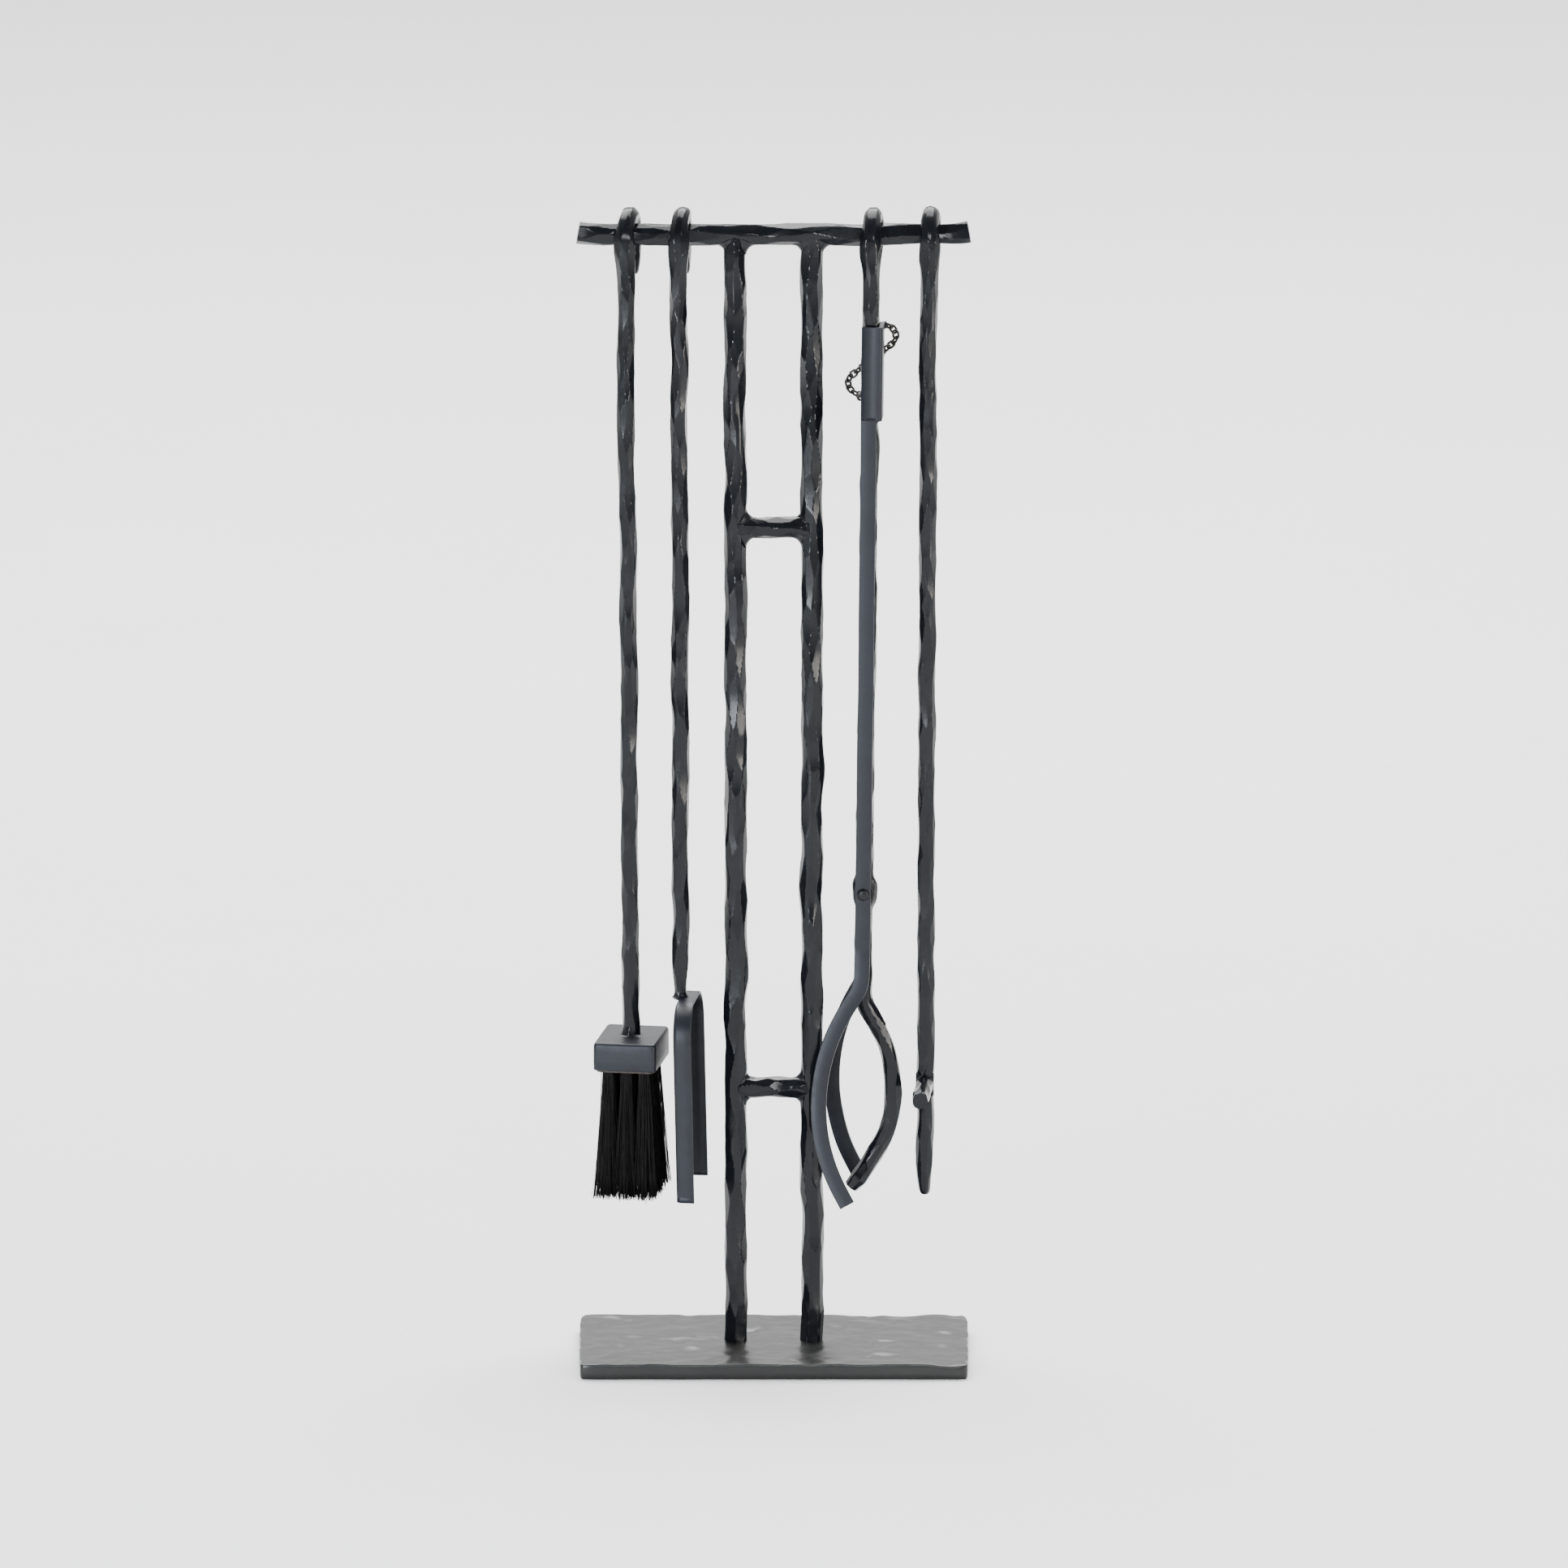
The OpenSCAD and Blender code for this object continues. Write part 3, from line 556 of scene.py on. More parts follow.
def base():
    lo, hi = node_box("base_plate")
    w, d, t = hi[0] - lo[0], hi[1] - lo[1], hi[2]
    rng = np.random.default_rng(7)
    nx, ny = 241, 141
    xs, ys = np.linspace(-1, 1, nx), np.linspace(-1, 1, ny)
    gx, gy = np.meshgrid(xs * w / 2, ys * d / 2, indexing="ij")
    z = np.full(gx.shape, t + 0.5)
    waves = 0
    for _ in range(16):
        a, k, p = rng.uniform(0, math.pi), rng.uniform(0.05, 0.22), rng.uniform(0, 7)
        waves = waves + np.sin(k * (gx * math.cos(a) + gy * math.sin(a)) + p) / (4 + 60 * k)
    z += 0.55 * waves
    for _ in range(300):
        cx, cy = rng.uniform(-w / 2 - 4, w / 2 + 4), rng.uniform(-d / 2 - 4, d / 2 + 4)
        rx, ry, a = rng.uniform(7, 15), rng.uniform(5, 11), rng.uniform(0, math.pi)
        u = ((gx - cx) * math.cos(a) + (gy - cy) * math.sin(a)) / rx
        v = (-(gx - cx) * math.sin(a) + (gy - cy) * math.cos(a)) / ry
        q = u * u + v * v
        z -= rng.uniform(0.15, 0.62) * np.exp(-q * q)
    for _ in range(26):  # sharper crescent marks from the hammer's edge
        cx, cy = rng.uniform(-w / 2, w / 2), rng.uniform(-d / 2, d / 2)
        r0, a0 = rng.uniform(3.5, 6.5), rng.uniform(-3, 3)
        r = np.hypot(gx - cx, gy - cy)
        a = np.arctan2(gy - cy, gx - cx) - a0
        arc = np.clip(np.cos(a) * 1.5, 0, 1)
        z -= rng.uniform(0.18, 0.4) * np.exp(-((r - r0) / 0.9) ** 2) * arc
    # plate level under the uprights' feet
    for name in ("left_upright", "right_upright"):
        box = node_box(name)
        cx = (box[0][0] + box[1][0]) / 2
        near = np.exp(-(np.hypot(gx - cx, gy) / 9.5) ** 4)
        z = z * (1 - near) + t * near
    z = np.minimum(z, t + 0.6)
    # outline: corners eased, edges drawn in a little and ragged at the top
    px, py = gx.copy(), gy.copy()
    ragged_x = smooth_noise(rng, ny, 11, 0.55)
    ragged_y = smooth_noise(rng, nx, 12, 0.5)
    edge = np.abs(xs)[:, None] ** 40
    px += np.sign(xs)[:, None] * edge * (ragged_x[None, :] - 0.5)
    edge = np.abs(ys)[None, :] ** 40
    py += np.sign(ys)[None, :] * edge * (ragged_y[:, None] - 0.5) * np.where(ys[None, :] < 0, 0.35, 1.0)
    corner = (np.abs(xs)[:, None] ** 34) * (np.abs(ys)[None, :] ** 20)
    px -= np.sign(xs)[:, None] * 2.4 * corner
    py -= np.sign(ys)[None, :] * 1.2 * corner
    rim = np.maximum(np.abs(xs)[:, None] ** 60 * 1.0, np.abs(ys)[None, :] ** 40 * 0.8)
    z -= 0.45 * rim
    top = np.stack([px, py, z], -1).reshape(-1, 3)
    b = Build()
    index = lambda i, j: i * ny + j
    faces = [(index(i, j), index(i + 1, j), index(i + 1, j + 1), index(i, j + 1))
             for i in range(nx - 1) for j in range(ny - 1)]
    loop = ([index(i, 0) for i in range(nx)] + [index(nx - 1, j) for j in range(1, ny)]
            + [index(i, ny - 1) for i in range(nx - 2, -1, -1)] + [index(0, j) for j in range(ny - 2, 0, -1)])
    verts = [top]
    count = len(top)
    rows = [loop]
    for height, spread_out in ((0.93, 0.35), (0.8, 0.5), (0.45, 0.55), (0.12, 0.45), (0.02, 0.0)):
        ring = []
        for i in loop:
            x, y, zz = top[i]
            level = zz * height if height < 0.9 else zz - 0.55
            ring.append((x + np.sign(x) * spread_out * (abs(x) > w / 2 - 3.5),
                         y + np.sign(y) * spread_out * (abs(y) > d / 2 - 2.5), level))
        verts.append(np.array(ring))
        rows.append(list(range(count, count + len(loop))))
        count += len(loop)
    for upper, lower in zip(rows, rows[1:]):
        for k in range(len(loop)):
            m = (k + 1) % len(loop)
            faces.append((upper[k], lower[k], lower[m], upper[m]))
    last = [(x, y, 0.0) for x, y, _ in verts[-1]]
    verts.append(np.array([(x * 0.995, y * 0.992, 0.0) for x, y, _ in last]))
    under = list(range(count, count + len(loop)))
    for k in range(len(loop)):
        m = (k + 1) % len(loop)
        faces.append((rows[-1][k], under[k], under[m], rows[-1][m]))
    faces.append(tuple(under[::-1]))
    b.add(np.concatenate(verts), faces)
    b.object("base_plate_hammered", base_steel, "stand", ["base_plate"], "hammered_base")


base()
upright("left_upright", 11)
upright("right_upright", 12)
rung("lower_rung", 21)
rung("upper_rung", 22)
top_bar()
corner_welds()


# ---------------------------------------------------------------- brush
def flared_weld(tool, name, node, centre, r, leg, height, seed):
    """Ring of weld metal that flares from a bar onto a flat surface below it."""
    b = Build()
    rows, columns = 9, 40
    rng = np.random.default_rng(seed)
    wave = smooth_noise(rng, columns, 5, 0.35)
    wave[-3:] = wave[0] * np.array([0.4, 0.7, 0.9]) + wave[-3:] * np.array([0.6, 0.3, 0.1])
    verts = []
    for i in range(rows):
        f = i / (rows - 1)
        out = r - 0.3 + leg * (1 - math.sqrt(max(0, 1 - (1 - f) ** 2)))
        for j in range(columns):
            a = 2 * math.pi * j / columns
            rr = out + wave[j] * (1 - f)
            verts.append((centre[0] + rr * math.cos(a), centre[1] + rr * math.sin(a), centre[2] + height * f))
    b.add(verts, grid_faces(rows, columns)).place(tool)
    b.object(name, weld_metal, tool, [node], "weld_metal")


def brush():
    head_z, head_h, w, d = 221.5, 19.0, 43.0, 55.0
    path, radius = hook_path(head_z - 1)
    low = path[:, 2] < head_z + 7
    radius = radius + np.where(low & on_shaft(path), (head_z + 7 - path[:, 2]) * 0.12, 0)
    forged(hammered_tube(path, radius, 41, stretch=hook_spread(path)), "brush_handle", "brush", "brush")
    flared_weld("brush", "brush_collar_weld", "brush_weld", (0, SHAFT_Y, head_z - 0.2), TOOL_R, 3.6, 3.6, 5)

    # cover: one sheet folded down on four sides
    def loop(inset, r, z, sag=0.0):
        pts = []
        hw, hd = w / 2 - inset, d / 2 - inset
        for cx, cy, start in ((1, 1, 0), (-1, 1, 90), (-1, -1, 180), (1, -1, 270)):
            for k in range(7):
                a = math.radians(start + 15 * k)
                pts.append((cx * (hw - r) + r * math.cos(a), cy * (hd - r) + r * math.sin(a), z))
            nxt = {(1, 1): (-1, 0), (-1, 1): (0, -1), (-1, -1): (1, 0), (1, -1): (0, 1)}[(cx, cy)]
            x0, y0, _ = pts[-1]
            span = 2 * (hw - r) if nxt[0] else 2 * (hd - r)
            for k in range(1, 12):
                f = k / 12
                bow = sag * math.sin(math.pi * f)
                nx, ny = (0, cy) if nxt[0] else (cx, 0)
                pts.append((x0 + nxt[0] * span * f + nx * bow, y0 + nxt[1] * span * f + ny * bow, z))
        return np.array(pts)

    z0, z1 = head_z - head_h, head_z
    rings = [loop(1.5, 1.6, z0 + 5), loop(1.5, 1.6, z0 + 0.25), loop(1.25, 1.8, z0), loop(0.35, 2.3, z0),
             loop(0, 2.6, z0 + 0.4, 0.15), loop(0, 2.6, z0 + 6, 0.35), loop(0.05, 2.6, z0 + 12, 0.25),
             loop(0.1, 2.6, z1 - 2.2, 0.1), loop(0.45, 2.6, z1 - 0.9), loop(1.3, 2.3, z1 - 0.15),
             loop(2.4, 2.0, z1), loop(5, 1.8, z1 - 0.1), loop(9, 1.6, z1 - 0.25), loop(13, 1.4, z1 - 0.15),
             loop(17, 1.2, z1 - 0.05)]
    m = len(rings[0])
    rng = np.random.default_rng(2)
    verts = np.concatenate(rings)
    verts += rng.normal(0, 0.03, verts.shape)
    faces = grid_faces(len(rings), m)
    faces.append(tuple((len(rings) - 1) * m + j for j in range(m)))
    verts = verts + (0, SHAFT_Y, 0)
    Build().add(verts, faces).place("brush").object(
        "brush_cover_folded", sheet_steel, "brush", ["brush_cover"], "sheet_steel")

    # bristles: bundles of fine fibres that spread as they leave the block
    rng = np.random.default_rng(17)
    b = Build()
    top_z = head_z - 18.0
    columns, rows = 3, 5
    per_tuft = 190
    for c in range(columns):
        for q in range(rows):
            cx = (c - (columns - 1) / 2) * 12.4
            cy = (q - (rows - 1) / 2) * 10.2
            for k in range(per_tuft):
                a, rad = rng.uniform(0, 2 * math.pi), math.sqrt(rng.uniform(0, 1))
                x0, y0 = cx + 3.6 * rad * math.cos(a), cy + 3.4 * rad * math.sin(a)
                fan = rng.normal(0, 1.7)
                x1 = x0 * 1.12 + 4.2 * rad * math.cos(a) + fan
                y1 = y0 * 1.2 + 3.4 * rad * math.sin(a) + rng.normal(0, 0.9)
                length = 92 - abs(rng.normal(0, 1.6)) - 1.2 * rad
                if rng.uniform() < 0.01:
                    length += 3
                x1 = min(x1, 22.2)
                bow = rng.normal(0, 0.8, 2)
                width = rng.uniform(0.2, 0.34)
                spin = rng.uniform(0, math.pi)
                steps = 6
                pts = []
                for i in range(steps):
                    f = i / (steps - 1)
                    ease = f ** 1.25
                    wob = math.sin(math.pi * f)
                    pts.append((x0 + (x1 - x0) * ease + bow[0] * wob, y0 + (y1 - y0) * ease + bow[1] * wob,
                                top_z - length * f))
                pts = np.array(pts)
                verts = []
                for i, p in enumerate(pts):
                    wd = width * (1 - 0.45 * i / (steps - 1))
                    for g in range(3):
                        ang = spin + 2 * math.pi * g / 3
                        verts.append(p + np.array([wd * math.cos(ang), wd * math.sin(ang), 0]))
                faces = grid_faces(steps, 3, flip=True)
                faces.append(((steps - 1) * 3, (steps - 1) * 3 + 1, (steps - 1) * 3 + 2))
                b.add(verts, faces)
    # a few loose strands on the outer side
    for side, lift, reach in ((-1, 30, 3.2), (-1, 42, 2.2), (-1, 25, 1.4)):
        pts = []
        for i in range(8):
            f = i / 7
            pts.append((side * (17.5 + (4.5 + reach) * f ** 1.6), -18 + 3 * reach * f, top_z - 93 * f))
        pts = np.array(pts)
        verts = []
        for p in pts:
            for g in range(3):
                ang = 2 * math.pi * g / 3
                verts.append(p + np.array([0.26 * math.cos(ang), 0.26 * math.sin(ang), 0]))
        b.add(verts, grid_faces(8, 3, flip=True))
    b.verts = [v + (0, SHAFT_Y, 0) for v in b.verts]
    b.place("brush").object("brush_bristles", bristle, "brush", ["bristle_tufts"], "bristles")


brush()


# ---------------------------------------------------------------- shovel
def shovel():
    top, length, w, wall, t, r = 248.0, 135.0, 76.0, 12.4, 1.8, 24.0
    off = -1.6
    path, radius = hook_path(top - 1.2)
    z = path[:, 2]
    f = np.clip((z - top) / 26, 0, 1)
    neck = 4.0 + (TOOL_R - 4.0) * (f * f * (3 - 2 * f))
    radius = np.where(on_shaft(path) & (z < top + 26), np.minimum(radius, neck), radius)
    foot = np.clip(1 - (z - top) / 5, 0, 1)
    radius = radius + np.where(on_shaft(path), 1.5 * foot ** 2, 0)
    forged(hammered_tube(path, radius, 51, stretch=hook_spread(path)), "shovel_handle", "shovel", "shovel")
    flared_weld("shovel", "shovel_neck_weld", "shovel_weld", (0, SHAFT_Y, top - 0.3), 4.6, 1.4, 2.6, 6)

    # outline of the pan from the front foot of its mouth, over the arch, to the rear foot
    half = w / 2
    pts = [(-half, -length + k * (length - r) / 26) for k in range(27)]
    for k in range(1, 16):
        a = math.pi - (math.pi / 2) * k / 15
        pts.append((-half + r + r * math.cos(a), -r + r * math.sin(a)))
    span = 2 * (half - r)
    for k in range(1, 12):
        pts.append((-half + r + span * k / 12, 0.0))
    for k in range(0, 16):
        a = math.pi / 2 - (math.pi / 2) * k / 15
        pts.append((half - r + r * math.cos(a), -r + r * math.sin(a)))
    pts += [(half, -r - k * (length - r) / 26) for k in range(1, 27)]
    outline = np.array(pts)
    tangent = np.gradient(outline, axis=0)
    tangent /= np.linalg.norm(tangent, axis=1)[:, None]
    inward = np.stack([tangent[:, 1], -tangent[:, 0]], 1)

    # profile across the wall: (distance in from the outline, height above the plate)
    corner = 3.0
    profile = [(11.0, 0.0), (7.0, 0.0)]
    for k in range(6):
        a = math.pi * 1.5 - (math.pi / 2) * k / 5
        profile.append((corner + corner * math.cos(a), corner + corner * math.sin(a)))
    profile += [(0.0, 7.0), (0.05, wall - 0.7), (0.35, wall - 0.15), (0.9, wall), (1.45, wall - 0.15),
                (t - 0.05, wall - 0.7), (t, 7.0)]
    inner = corner - t + 0.6
    for k in range(6):
        a = math.pi + (math.pi / 2) * k / 5
        profile.append((t + inner + inner * math.cos(a), t + inner + inner * math.sin(a)))
    profile += [(7.0, t), (11.0, t)]
    profile = np.array(profile)
    rng = np.random.default_rng(8)
    n, m = len(outline), len(profile)
    ripple = smooth_noise(rng, n, 9, 0.22)
    verts = np.zeros((n, m, 3))
    for i in range(n):
        y, zz = outline[i]
        low = np.clip((-zz - 30) / 108, 0, 1)
        for j in range(m):
            inn, h = profile[j]
            k = h / wall
            # the walls lean out a little toward the mouth
            p = outline[i] + inward[i] * (inn - 0.6 * k * low + ripple[i] * k)
            verts[i, j] = (off + h + 0.25 * ripple[i] * k - 0.02 * zz, p[0], p[1])
    b = Build()
    faces = grid_faces(n, m, wrap=False)
    flat_verts = verts.reshape(-1, 3) + (0, SHAFT_Y, top)
    outer = [i * m for i in range(n)]
    inner_loop = [i * m + m - 1 for i in range(n)]
    faces.append(tuple(outer[::-1]))
    faces.append(tuple(inner_loop))
    faces.append(tuple(range(m)))
    faces.append(tuple((n - 1) * m + j for j in range(m - 1, -1, -1)))
    faces.append((outer[0], outer[-1], inner_loop[-1], inner_loop[0]))
    b.add(flat_verts, faces).place("shovel")
    b.object("shovel_pan_sheet", sheet_steel, "shovel", ["shovel_pan"], "sheet_steel")


shovel()


# ---------------------------------------------------------------- tongs
RIVET_Z, STRIP_W, STRIP_T, STRIP_IN = 321.0, 10.5, 2.8, 6.2
STRIP_MID = STRIP_IN + STRIP_T / 2


def bent_path(start, side, out_angle, run, back_r, back_angle, tip):
    """Out to one side on a 25 mm bend, straight, back on a long bend, straight: points in XZ."""
    left = side > 0
    out, heading = arc_run((0, start), 0, out_angle, 25.0, left)
    h = math.radians(heading)
    step = np.array([math.sin(h), -math.cos(h)])
    straight = line(np.append(out[-1], 0), np.append(out[-1] + step * run, 0), 1.2)[:, :2]
    back, heading = arc_run(straight[-1], heading, back_angle, back_r, not left)
    h = math.radians(heading)
    step = np.array([math.sin(h), -math.cos(h)])
    end = line(np.append(back[-1], 0), np.append(back[-1] + step * tip, 0), 1.2)[:, :2]
    return np.concatenate([out, straight[1:], back[1:], end[1:]])


def tongs():
    path, radius = hook_path(252.0)
    jaw = bent_path(252.0, 1, 33, 4.0, 96.0, 72, 11.0)[1:]
    jaw = np.stack([jaw[:, 0], np.full(len(jaw), SHAFT_Y), jaw[:, 1]], 1)
    full = np.concatenate([path, jaw])
    r = np.concatenate([radius, np.full(len(jaw), TOOL_R)])
    tail = np.arange(len(full)) > len(full) - 9
    r[tail] -= np.linspace(0, 1.2, tail.sum())
    # the bar is thinned where the lever's strips clasp it at the rivet
    z = full[:, 2]
    near = np.exp(-((z - RIVET_Z) / 9.5) ** 4) * on_shaft(full)
    flatten = 1 - 0.12 * near
    wide = (1 + 0.45 * near) * hook_spread(full)[0]
    forged(hammered_tube(full, r, 61, stretch=(wide, flatten)), "tongs_bar", "tongs", "tongs")

    # domed rivet heads
    b = Build()
    for side in (-1, 1):
        verts, faces = ball((0, SHAFT_Y + side * 9.05, RIVET_Z), 4.3, (1, 0.5, 1), lumps=0.05, seed=9 + side)
        b.add(verts, faces)
    b.place("tongs").object("rivet_heads", weld_metal, "tongs", ["tongs_rivet"], "weld_metal")


def prong_path(side):
    """Centreline of one strip from the grip to its prong's tip, with its width and thickness axes."""
    shape = (27, 8.4, 148.0, 51, 11.3) if side > 0 else (31, 11.4, 123.0, 61, 10.0)
    flat = np.concatenate([[(0, z) for z in np.arange(280.0, 264.5, -1.5)], bent_path(264.0, -1, *shape)])
    tangent = np.gradient(flat, axis=0)
    tangent /= np.linalg.norm(tangent, axis=1)[:, None]
    across = np.stack([-tangent[:, 1], tangent[:, 0]], 1)
    splay = math.radians(12.9)
    points, u, v = [], [], []
    for z in np.arange(654.0, 284.0, -3.0):
        points.append((0, SHAFT_Y + side * STRIP_MID, z))
        u.append((1, 0, 0))
        v.append((0, 1, 0))
    for (x, z), (ax, az) in zip(flat, across):
        down = 280.0 - z
        y = down * math.sin(splay)
        points.append((x, SHAFT_Y + side * (STRIP_MID + y), 280.0 - down * math.cos(splay)))
        u.append((ax, -side * az * math.sin(splay), az * math.cos(splay)))
        v.append((0, math.cos(splay), side * math.sin(splay)))
    return np.array(points, float), np.array(u, float), np.array(v, float)


def lever():
    b = Build()
    section = rounded_section(STRIP_W, STRIP_T, 0.45, 2)
    rng = np.random.default_rng(5)
    for side in (-1, 1):
        points, u, v = prong_path(side)
        s = path_lengths(points)
        dense = np.arange(0, s[-1], 1.2)
        fine = lambda a: np.stack([np.interp(dense, s, a[:, k]) for k in range(3)], 1)
        points, u, v = fine(points), fine(u), fine(v)
        # the bend where the prong splays is a soft curve, not a crease
        kernel = np.ones(7) / 7
        for axis in range(3):
            padded = np.pad(points[:, axis], 3, mode="reflect", reflect_type="odd")
            points[:, axis] = np.convolve(padded, kernel, "valid")
            for vec in (u, v):
                padded = np.pad(vec[:, axis], 3, mode="edge")
                vec[:, axis] = np.convolve(padded, kernel, "valid")
        u /= np.linalg.norm(u, axis=1)[:, None]
        v /= np.linalg.norm(v, axis=1)[:, None]
        n = len(points)
        wave = smooth_noise(rng, n, 20, 0.12)
        verts, faces, caps = swept(points + wave[:, None] * u, u, v, section)
        b.add(verts, faces)
        b.add(verts, caps, flat=True)

    # channel grip: sheet bent round the bar, open to the left
    left, right, t, outer, corner = -5.4, 8.9, 2.8, 9.0, 2.6
    prof = [(left, -outer)]
    for k in range(7):
        a = -math.pi / 2 + (math.pi / 2) * k / 6
        prof.append((right - corner + corner * math.cos(a), -outer + corner + corner * math.sin(a)))
    for k in range(7):
        a = (math.pi / 2) * k / 6
        prof.append((right - corner + corner * math.cos(a), outer - corner + corner * math.sin(a)))
    prof += [(left, outer), (left, outer - t)]
    inner = 0.8
    for k in range(4):
        a = math.pi / 2 - (math.pi / 2) * k / 3
        prof.append((right - 2.7 - inner + inner * math.cos(a), outer - t - inner + inner * math.sin(a)))
    for k in range(4):
        a = -(math.pi / 2) * k / 3
        prof.append((right - 2.7 - inner + inner * math.cos(a), -outer + t + inner + inner * math.sin(a)))
    prof += [(left, -outer + t)]
    prof = np.array(prof)
    heights = [652.0, 652.35, 660, 672, 684, 696, 708, 716.6, 717.0]
    n, m = len(heights), len(prof)
    verts = [(x, y + SHAFT_Y, z) for z in heights for x, y in prof]
    b.add(verts, grid_faces(n, m))
    caps = [tuple(range(m))[::-1], tuple((n - 1) * m + j for j in range(m))]
    b.add(verts, caps, flat=True)
    # rounded step between the channel's right side and each strip
    for side in (-1, 1):
        pts = [(5.0, 652.2), (8.9, 652.2)]
        for k in range(8):
            a = math.pi / 2 + (math.pi / 2) * k / 7
            pts.append((8.9 + 3.65 * math.cos(a), 648.5 + 3.65 * math.sin(a)))
        pts.append((5.0, 648.5))
        m = len(pts)
        verts = [(x, SHAFT_Y + side * face, z) for face in (9.0, 6.2) for x, z in pts]
        faces = [tuple(range(m)) if side > 0 else tuple(range(m))[::-1],
                 tuple(range(m, 2 * m))[::-1] if side > 0 else tuple(range(m, 2 * m))]
        for j in range(m):
            k = (j + 1) % m
            quad = (j, j + m, k + m, k)
            faces.append(quad if side > 0 else quad[::-1])
        b.add(verts, faces, flat=True)
    b.place("tongs").object("tongs_lever_bent", sheet_steel, "lever", ["tongs_lever"], "sheet_steel")


def chain():
    """Round-wire links in a bight to the right, a run behind the grip, and a bight to the left."""
    y = -2.6
    right_c, right_r, sweep = np.array([9.0, 706.5]), 7.2, math.radians(140)
    heading = np.array([math.sin(math.radians(90 - 140)), -math.cos(math.radians(90 - 140))])
    pts = []
    for k in range(40):
        a = math.pi / 2 - sweep * k / 39
        pts.append(right_c + right_r * np.array([math.cos(a), math.sin(a)]))
    corner = pts[-1]
    pts += [corner + heading * 35 * k / 30 for k in range(1, 31)]
    a0 = math.radians(130)
    left_c = pts[-1] - 7.0 * np.array([math.cos(a0), math.sin(a0)])
    for k in range(1, 40):
        a = a0 + math.radians(150) * k / 39
        pts.append(left_c + 7.0 * np.array([math.cos(a), math.sin(a)]))
    last = np.array(pts[-1])
    pts += [last + (np.array([-7.5, 663.0]) - last) * k / 12 for k in range(1, 13)]
    flat = np.array(pts)
    line3 = np.stack([flat[:, 0], np.full(len(flat), y), flat[:, 1]], 1)
    s = path_lengths(line3)
    bring = np.clip((s - s[-1] + 10) / 10, 0, 1)
    line3[:, 1] += bring * -6.5
    wire, link_r, side = 0.8, 2.15, 1.5
    pitch = 4.1
    rng = np.random.default_rng(23)
    b = Build()
    count = int(s[-1] / pitch)
    for i in range(count):
        at = (i + 0.5) * pitch
        p = np.array([np.interp(at, s, line3[:, k]) for k in range(3)])
        q = np.array([np.interp(at + 0.8, s, line3[:, k]) for k in range(3)])
        t = (q - p) / np.linalg.norm(q - p)
        u0 = np.cross(t, (0, 1, 0))
        u0 /= np.linalg.norm(u0)
        v0 = np.cross(t, u0)
        roll = math.radians(40 + 90 * (i % 2) + rng.uniform(-12, 12))
        u = u0 * math.cos(roll) + v0 * math.sin(roll)
        around = []
        for k in range(28):
            a = 2 * math.pi * k / 28
            around.append(p + u * link_r * math.cos(a)
                          + t * (link_r * math.sin(a) + math.copysign(side / 2, math.sin(a))))
        around = np.array(around)
        normal = np.cross(t, u)
        verts = []
        for k in range(28):
            tangent = around[(k + 1) % 28] - around[k - 1]
            tangent /= np.linalg.norm(tangent)
            outw = np.cross(tangent, normal)
            for g in range(10):
                ang = 2 * math.pi * g / 10
                verts.append(around[k] + wire * (math.cos(ang) * outw + math.sin(ang) * normal))
        faces = []
        for k in range(28):
            for g in range(10):
                a, c = (k + 1) % 28, (g + 1) % 10
                faces.append((k * 10 + g, k * 10 + c, a * 10 + c, a * 10 + g))
        b.add(verts, faces)
    b.place("tongs")
    obj = b.object("tongs_chain_links", chain_metal, None, ["tongs_chain"], "chain_steel")
    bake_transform(obj)
    bead = ball((8.6, SHAFT_Y + 9.2, 714.6), 2.5, (1, 1, 1.1), lumps=0.25, seed=4)
    Build().add(*bead).place("tongs").object(
        "chain_weld_bead", weld_metal, "lever", ["chain_weld"], "weld_metal")


tongs()
lever()
chain()


# ---------------------------------------------------------------- poker
def poker():
    path, radius = hook_path(108.5)
    z = path[:, 2]
    f = np.clip((z - 108.5) / 22, 0, 1)
    point = 2.5 + (TOOL_R - 2.5) * np.sqrt(f)
    radius = np.where(on_shaft(path), np.minimum(radius, point), radius)
    forged(hammered_tube(path, radius, 71, stretch=hook_spread(path)), "poker_bar", "poker", "poker")
    spur = line((0, SHAFT_Y, 187), (0, SHAFT_Y - 50, 187), 1.0)
    r = np.full(len(spur), TOOL_R - 0.1)
    shape = hammered_tube(spur, r, 72, depth=0.12, pitch=11, wander=0.15, dome=0.08)
    forged(shape, "poker_spur", "poker", "poker")
    b = Build()
    rows, columns = 10, 40
    rng = np.random.default_rng(31)
    lump = smooth_noise(rng, columns, 4, 0.5)
    verts = []
    for i in range(rows):
        g = i / (rows - 1)
        out = TOOL_R - 0.3 + 3.4 * (1 - math.sqrt(max(0, 1 - (1 - g) ** 2)))
        for j in range(columns):
            a = 2 * math.pi * j / columns
            rr = out + lump[j] * (1 - g)
            # the bead wraps back round the shaft above and below the spur
            verts.append((min(abs(rr * math.cos(a)), TOOL_R + 0.4) * math.copysign(1, math.cos(a)),
                          SHAFT_Y - 3.4 - 4.4 * g, 187 + rr * 1.12 * math.sin(a)))
    b.add(verts, grid_faces(rows, columns, flip=True)).place("poker").object(
        "poker_spur_weld", weld_metal, "poker", ["spur_weld"], "weld_metal")


poker()

# ---------------------------------------------------------------- CAD pieces that stay in view
for node, material in (("base_screws", weld_metal), ("chain_anchor", chain_metal),
                       ("brush_core", block_wood), ("rivet_washers", weld_metal)):
    obj = frame["nodes"][node]
    obj.data.materials.clear()
    obj.data.materials.append(material)

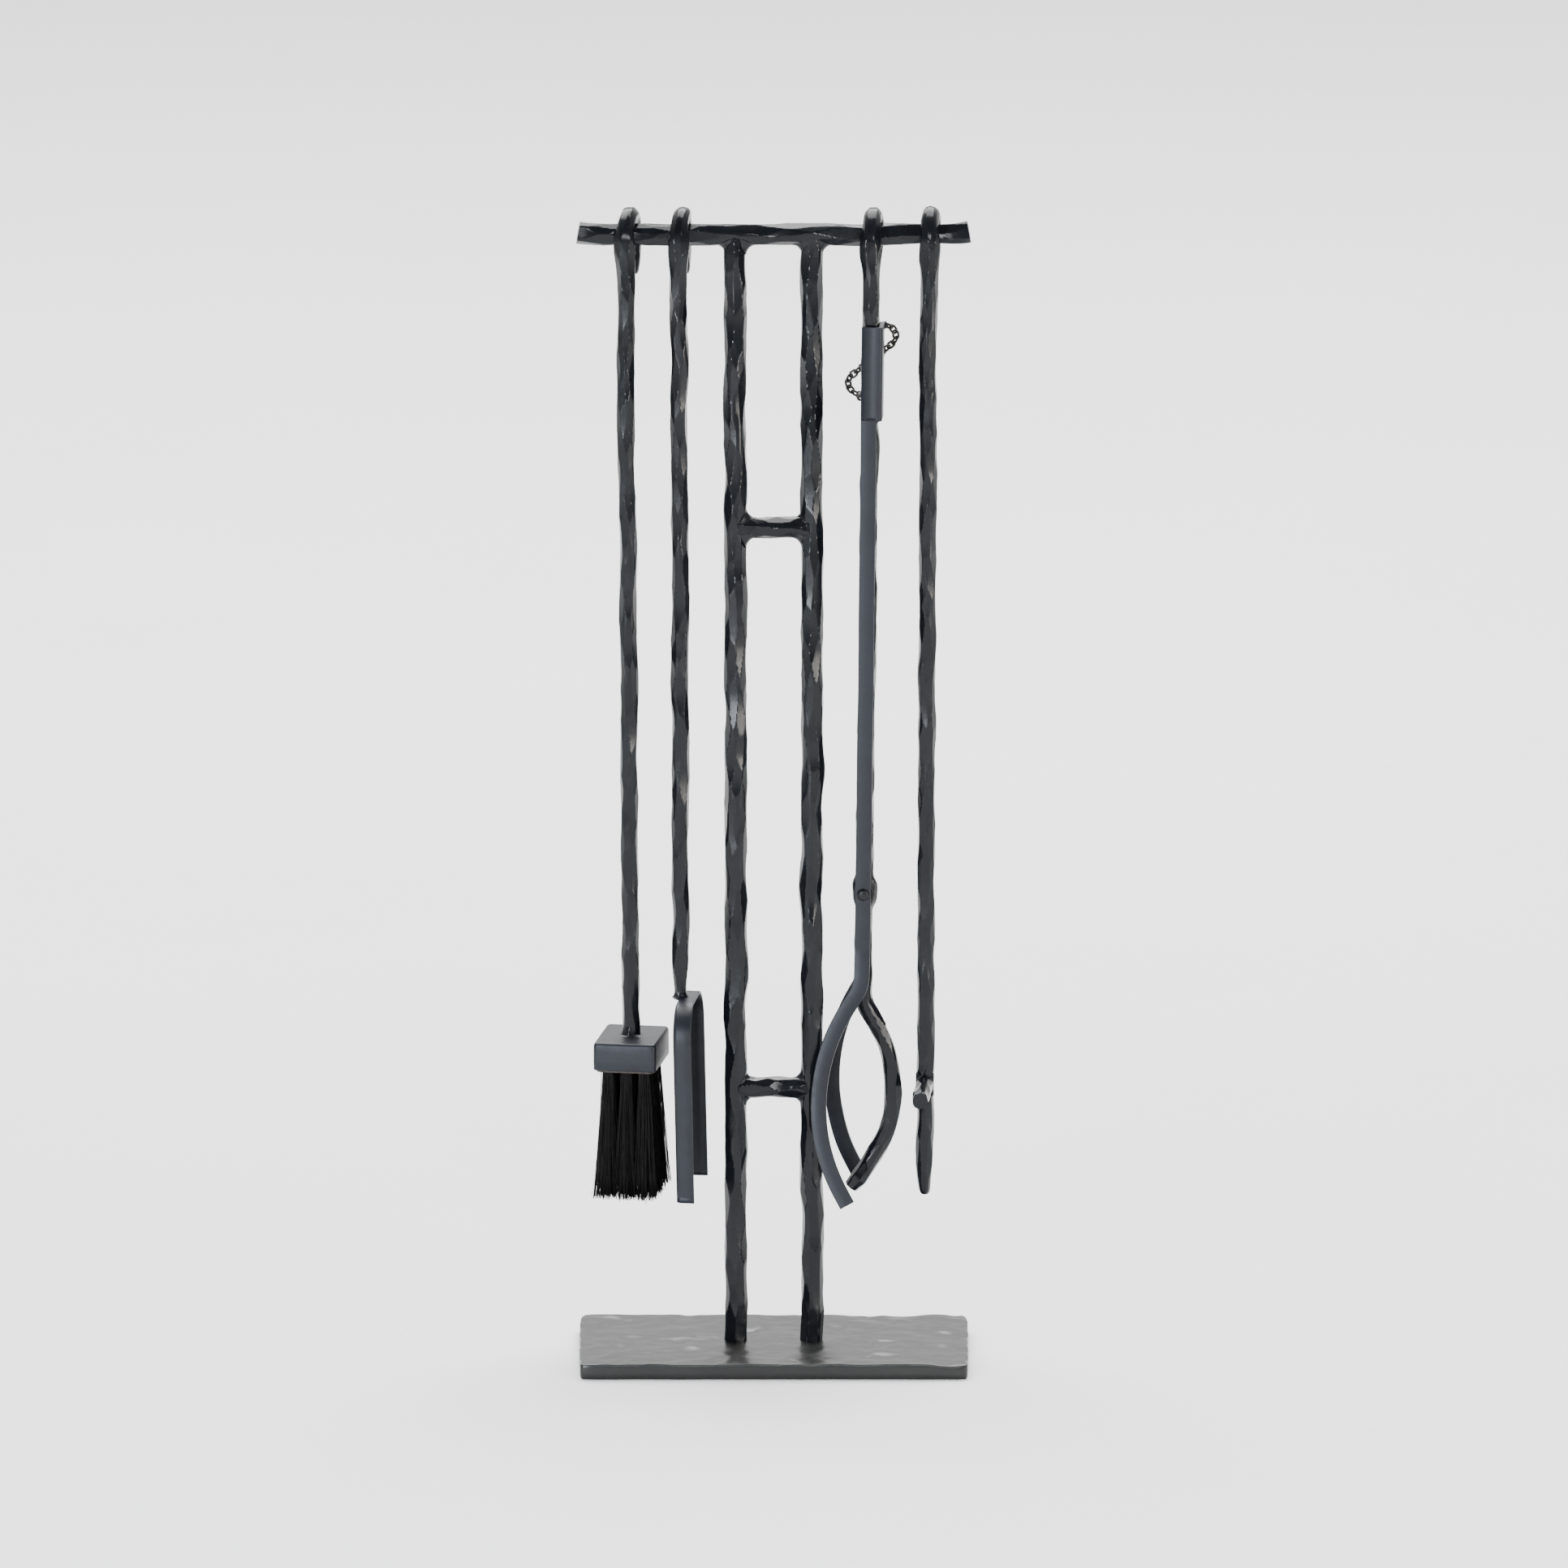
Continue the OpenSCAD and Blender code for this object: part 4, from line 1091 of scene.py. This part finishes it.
# ---------------------------------------------------------------- floor, light, camera
floor_mesh = bpy.data.meshes.new("floor")
size = 14.0
floor_mesh.from_pydata([(-size, -size, -0.0004), (size, -size, -0.0004), (size, size, -0.0004),
                        (-size, size, -0.0004)], [], [(0, 1, 2, 3)])
floor = bpy.data.objects.new("floor", floor_mesh)
bpy.context.scene.collection.objects.link(floor)
floor_material, nodes, links, shader, vector = new_material("floor_paper")
tone = noise(nodes, links, vector, 3, 3)
links.new(ramp(nodes, links, tone, [(0.3, (0.86, 0.86, 0.86)), (0.7, (0.88, 0.88, 0.88))]),
          shader.inputs["Base Color"])
shader.inputs["Roughness"].default_value = 0.9
shader.inputs["Specular IOR Level"].default_value = 0.1
floor_mesh.materials.append(floor_material)

world = bpy.data.worlds.new("studio")
bpy.context.scene.world = world
world.use_nodes = True
sky, sky_links = world.node_tree.nodes, world.node_tree.links
sky_place = sky.new("ShaderNodeTexCoord")
sky_axes = sky.new("ShaderNodeSeparateXYZ")
sky_links.new(sky_place.outputs["Generated"], sky_axes.inputs["Vector"])
sky_range = sky.new("ShaderNodeMapRange")
sky_range.interpolation_type = "SMOOTHSTEP"
sky_range.inputs["From Min"].default_value = -0.7
sky_range.inputs["From Max"].default_value = 1.0
sky_range.inputs["To Min"].default_value = 0.25
sky_range.inputs["To Max"].default_value = 1.35
sky_links.new(sky_axes.outputs["Y"], sky_range.inputs["Value"])
sky_links.new(sky_range.outputs["Result"], sky["Background"].inputs["Strength"])
sky["Background"].inputs["Color"].default_value = (1.0, 1.0, 1.0, 1)

centre = Vector((0.0069, 0.0, 0.3965))


def area_light(name, place, energy, w, h, color):
    light = bpy.data.lights.new(name, "AREA")
    light.shape, light.size, light.size_y = "RECTANGLE", w, h
    light.energy, light.color = energy, color
    obj = bpy.data.objects.new(name, light)
    obj.location = place
    obj.rotation_euler = (centre - Vector(place)).to_track_quat("-Z", "Y").to_euler()
    bpy.context.scene.collection.objects.link(obj)
    return obj


area_light("key", (-1.35, -2.5, 0.85), 85, 0.4, 1.5, (0.84, 0.9, 1.0))
area_light("fill", (2.1, -1.8, 0.8), 50, 0.3, 1.6, (1.0, 0.95, 0.88))
area_light("front", (0.35, -3.1, 1.35), 26, 0.25, 0.7, (0.95, 0.97, 1.0))
area_light("ceiling", (0.0, 2.4, 4.6), 900, 6.0, 5.0, (1.0, 1.0, 1.0))

camera_data = bpy.data.cameras.new("camera")
camera = bpy.data.objects.new("camera", camera_data)
bpy.context.scene.collection.objects.link(camera)
distance, elevation, width = 25.0, math.radians(12), 1.0626
camera.location = centre + Vector((0, -distance * math.cos(elevation), distance * math.sin(elevation)))
camera.rotation_euler = (centre - camera.location).to_track_quat("-Z", "Y").to_euler()
camera_data.sensor_width = 36
camera_data.lens = 36 * distance / width
camera_data.clip_end = 100
bpy.context.scene.camera = camera
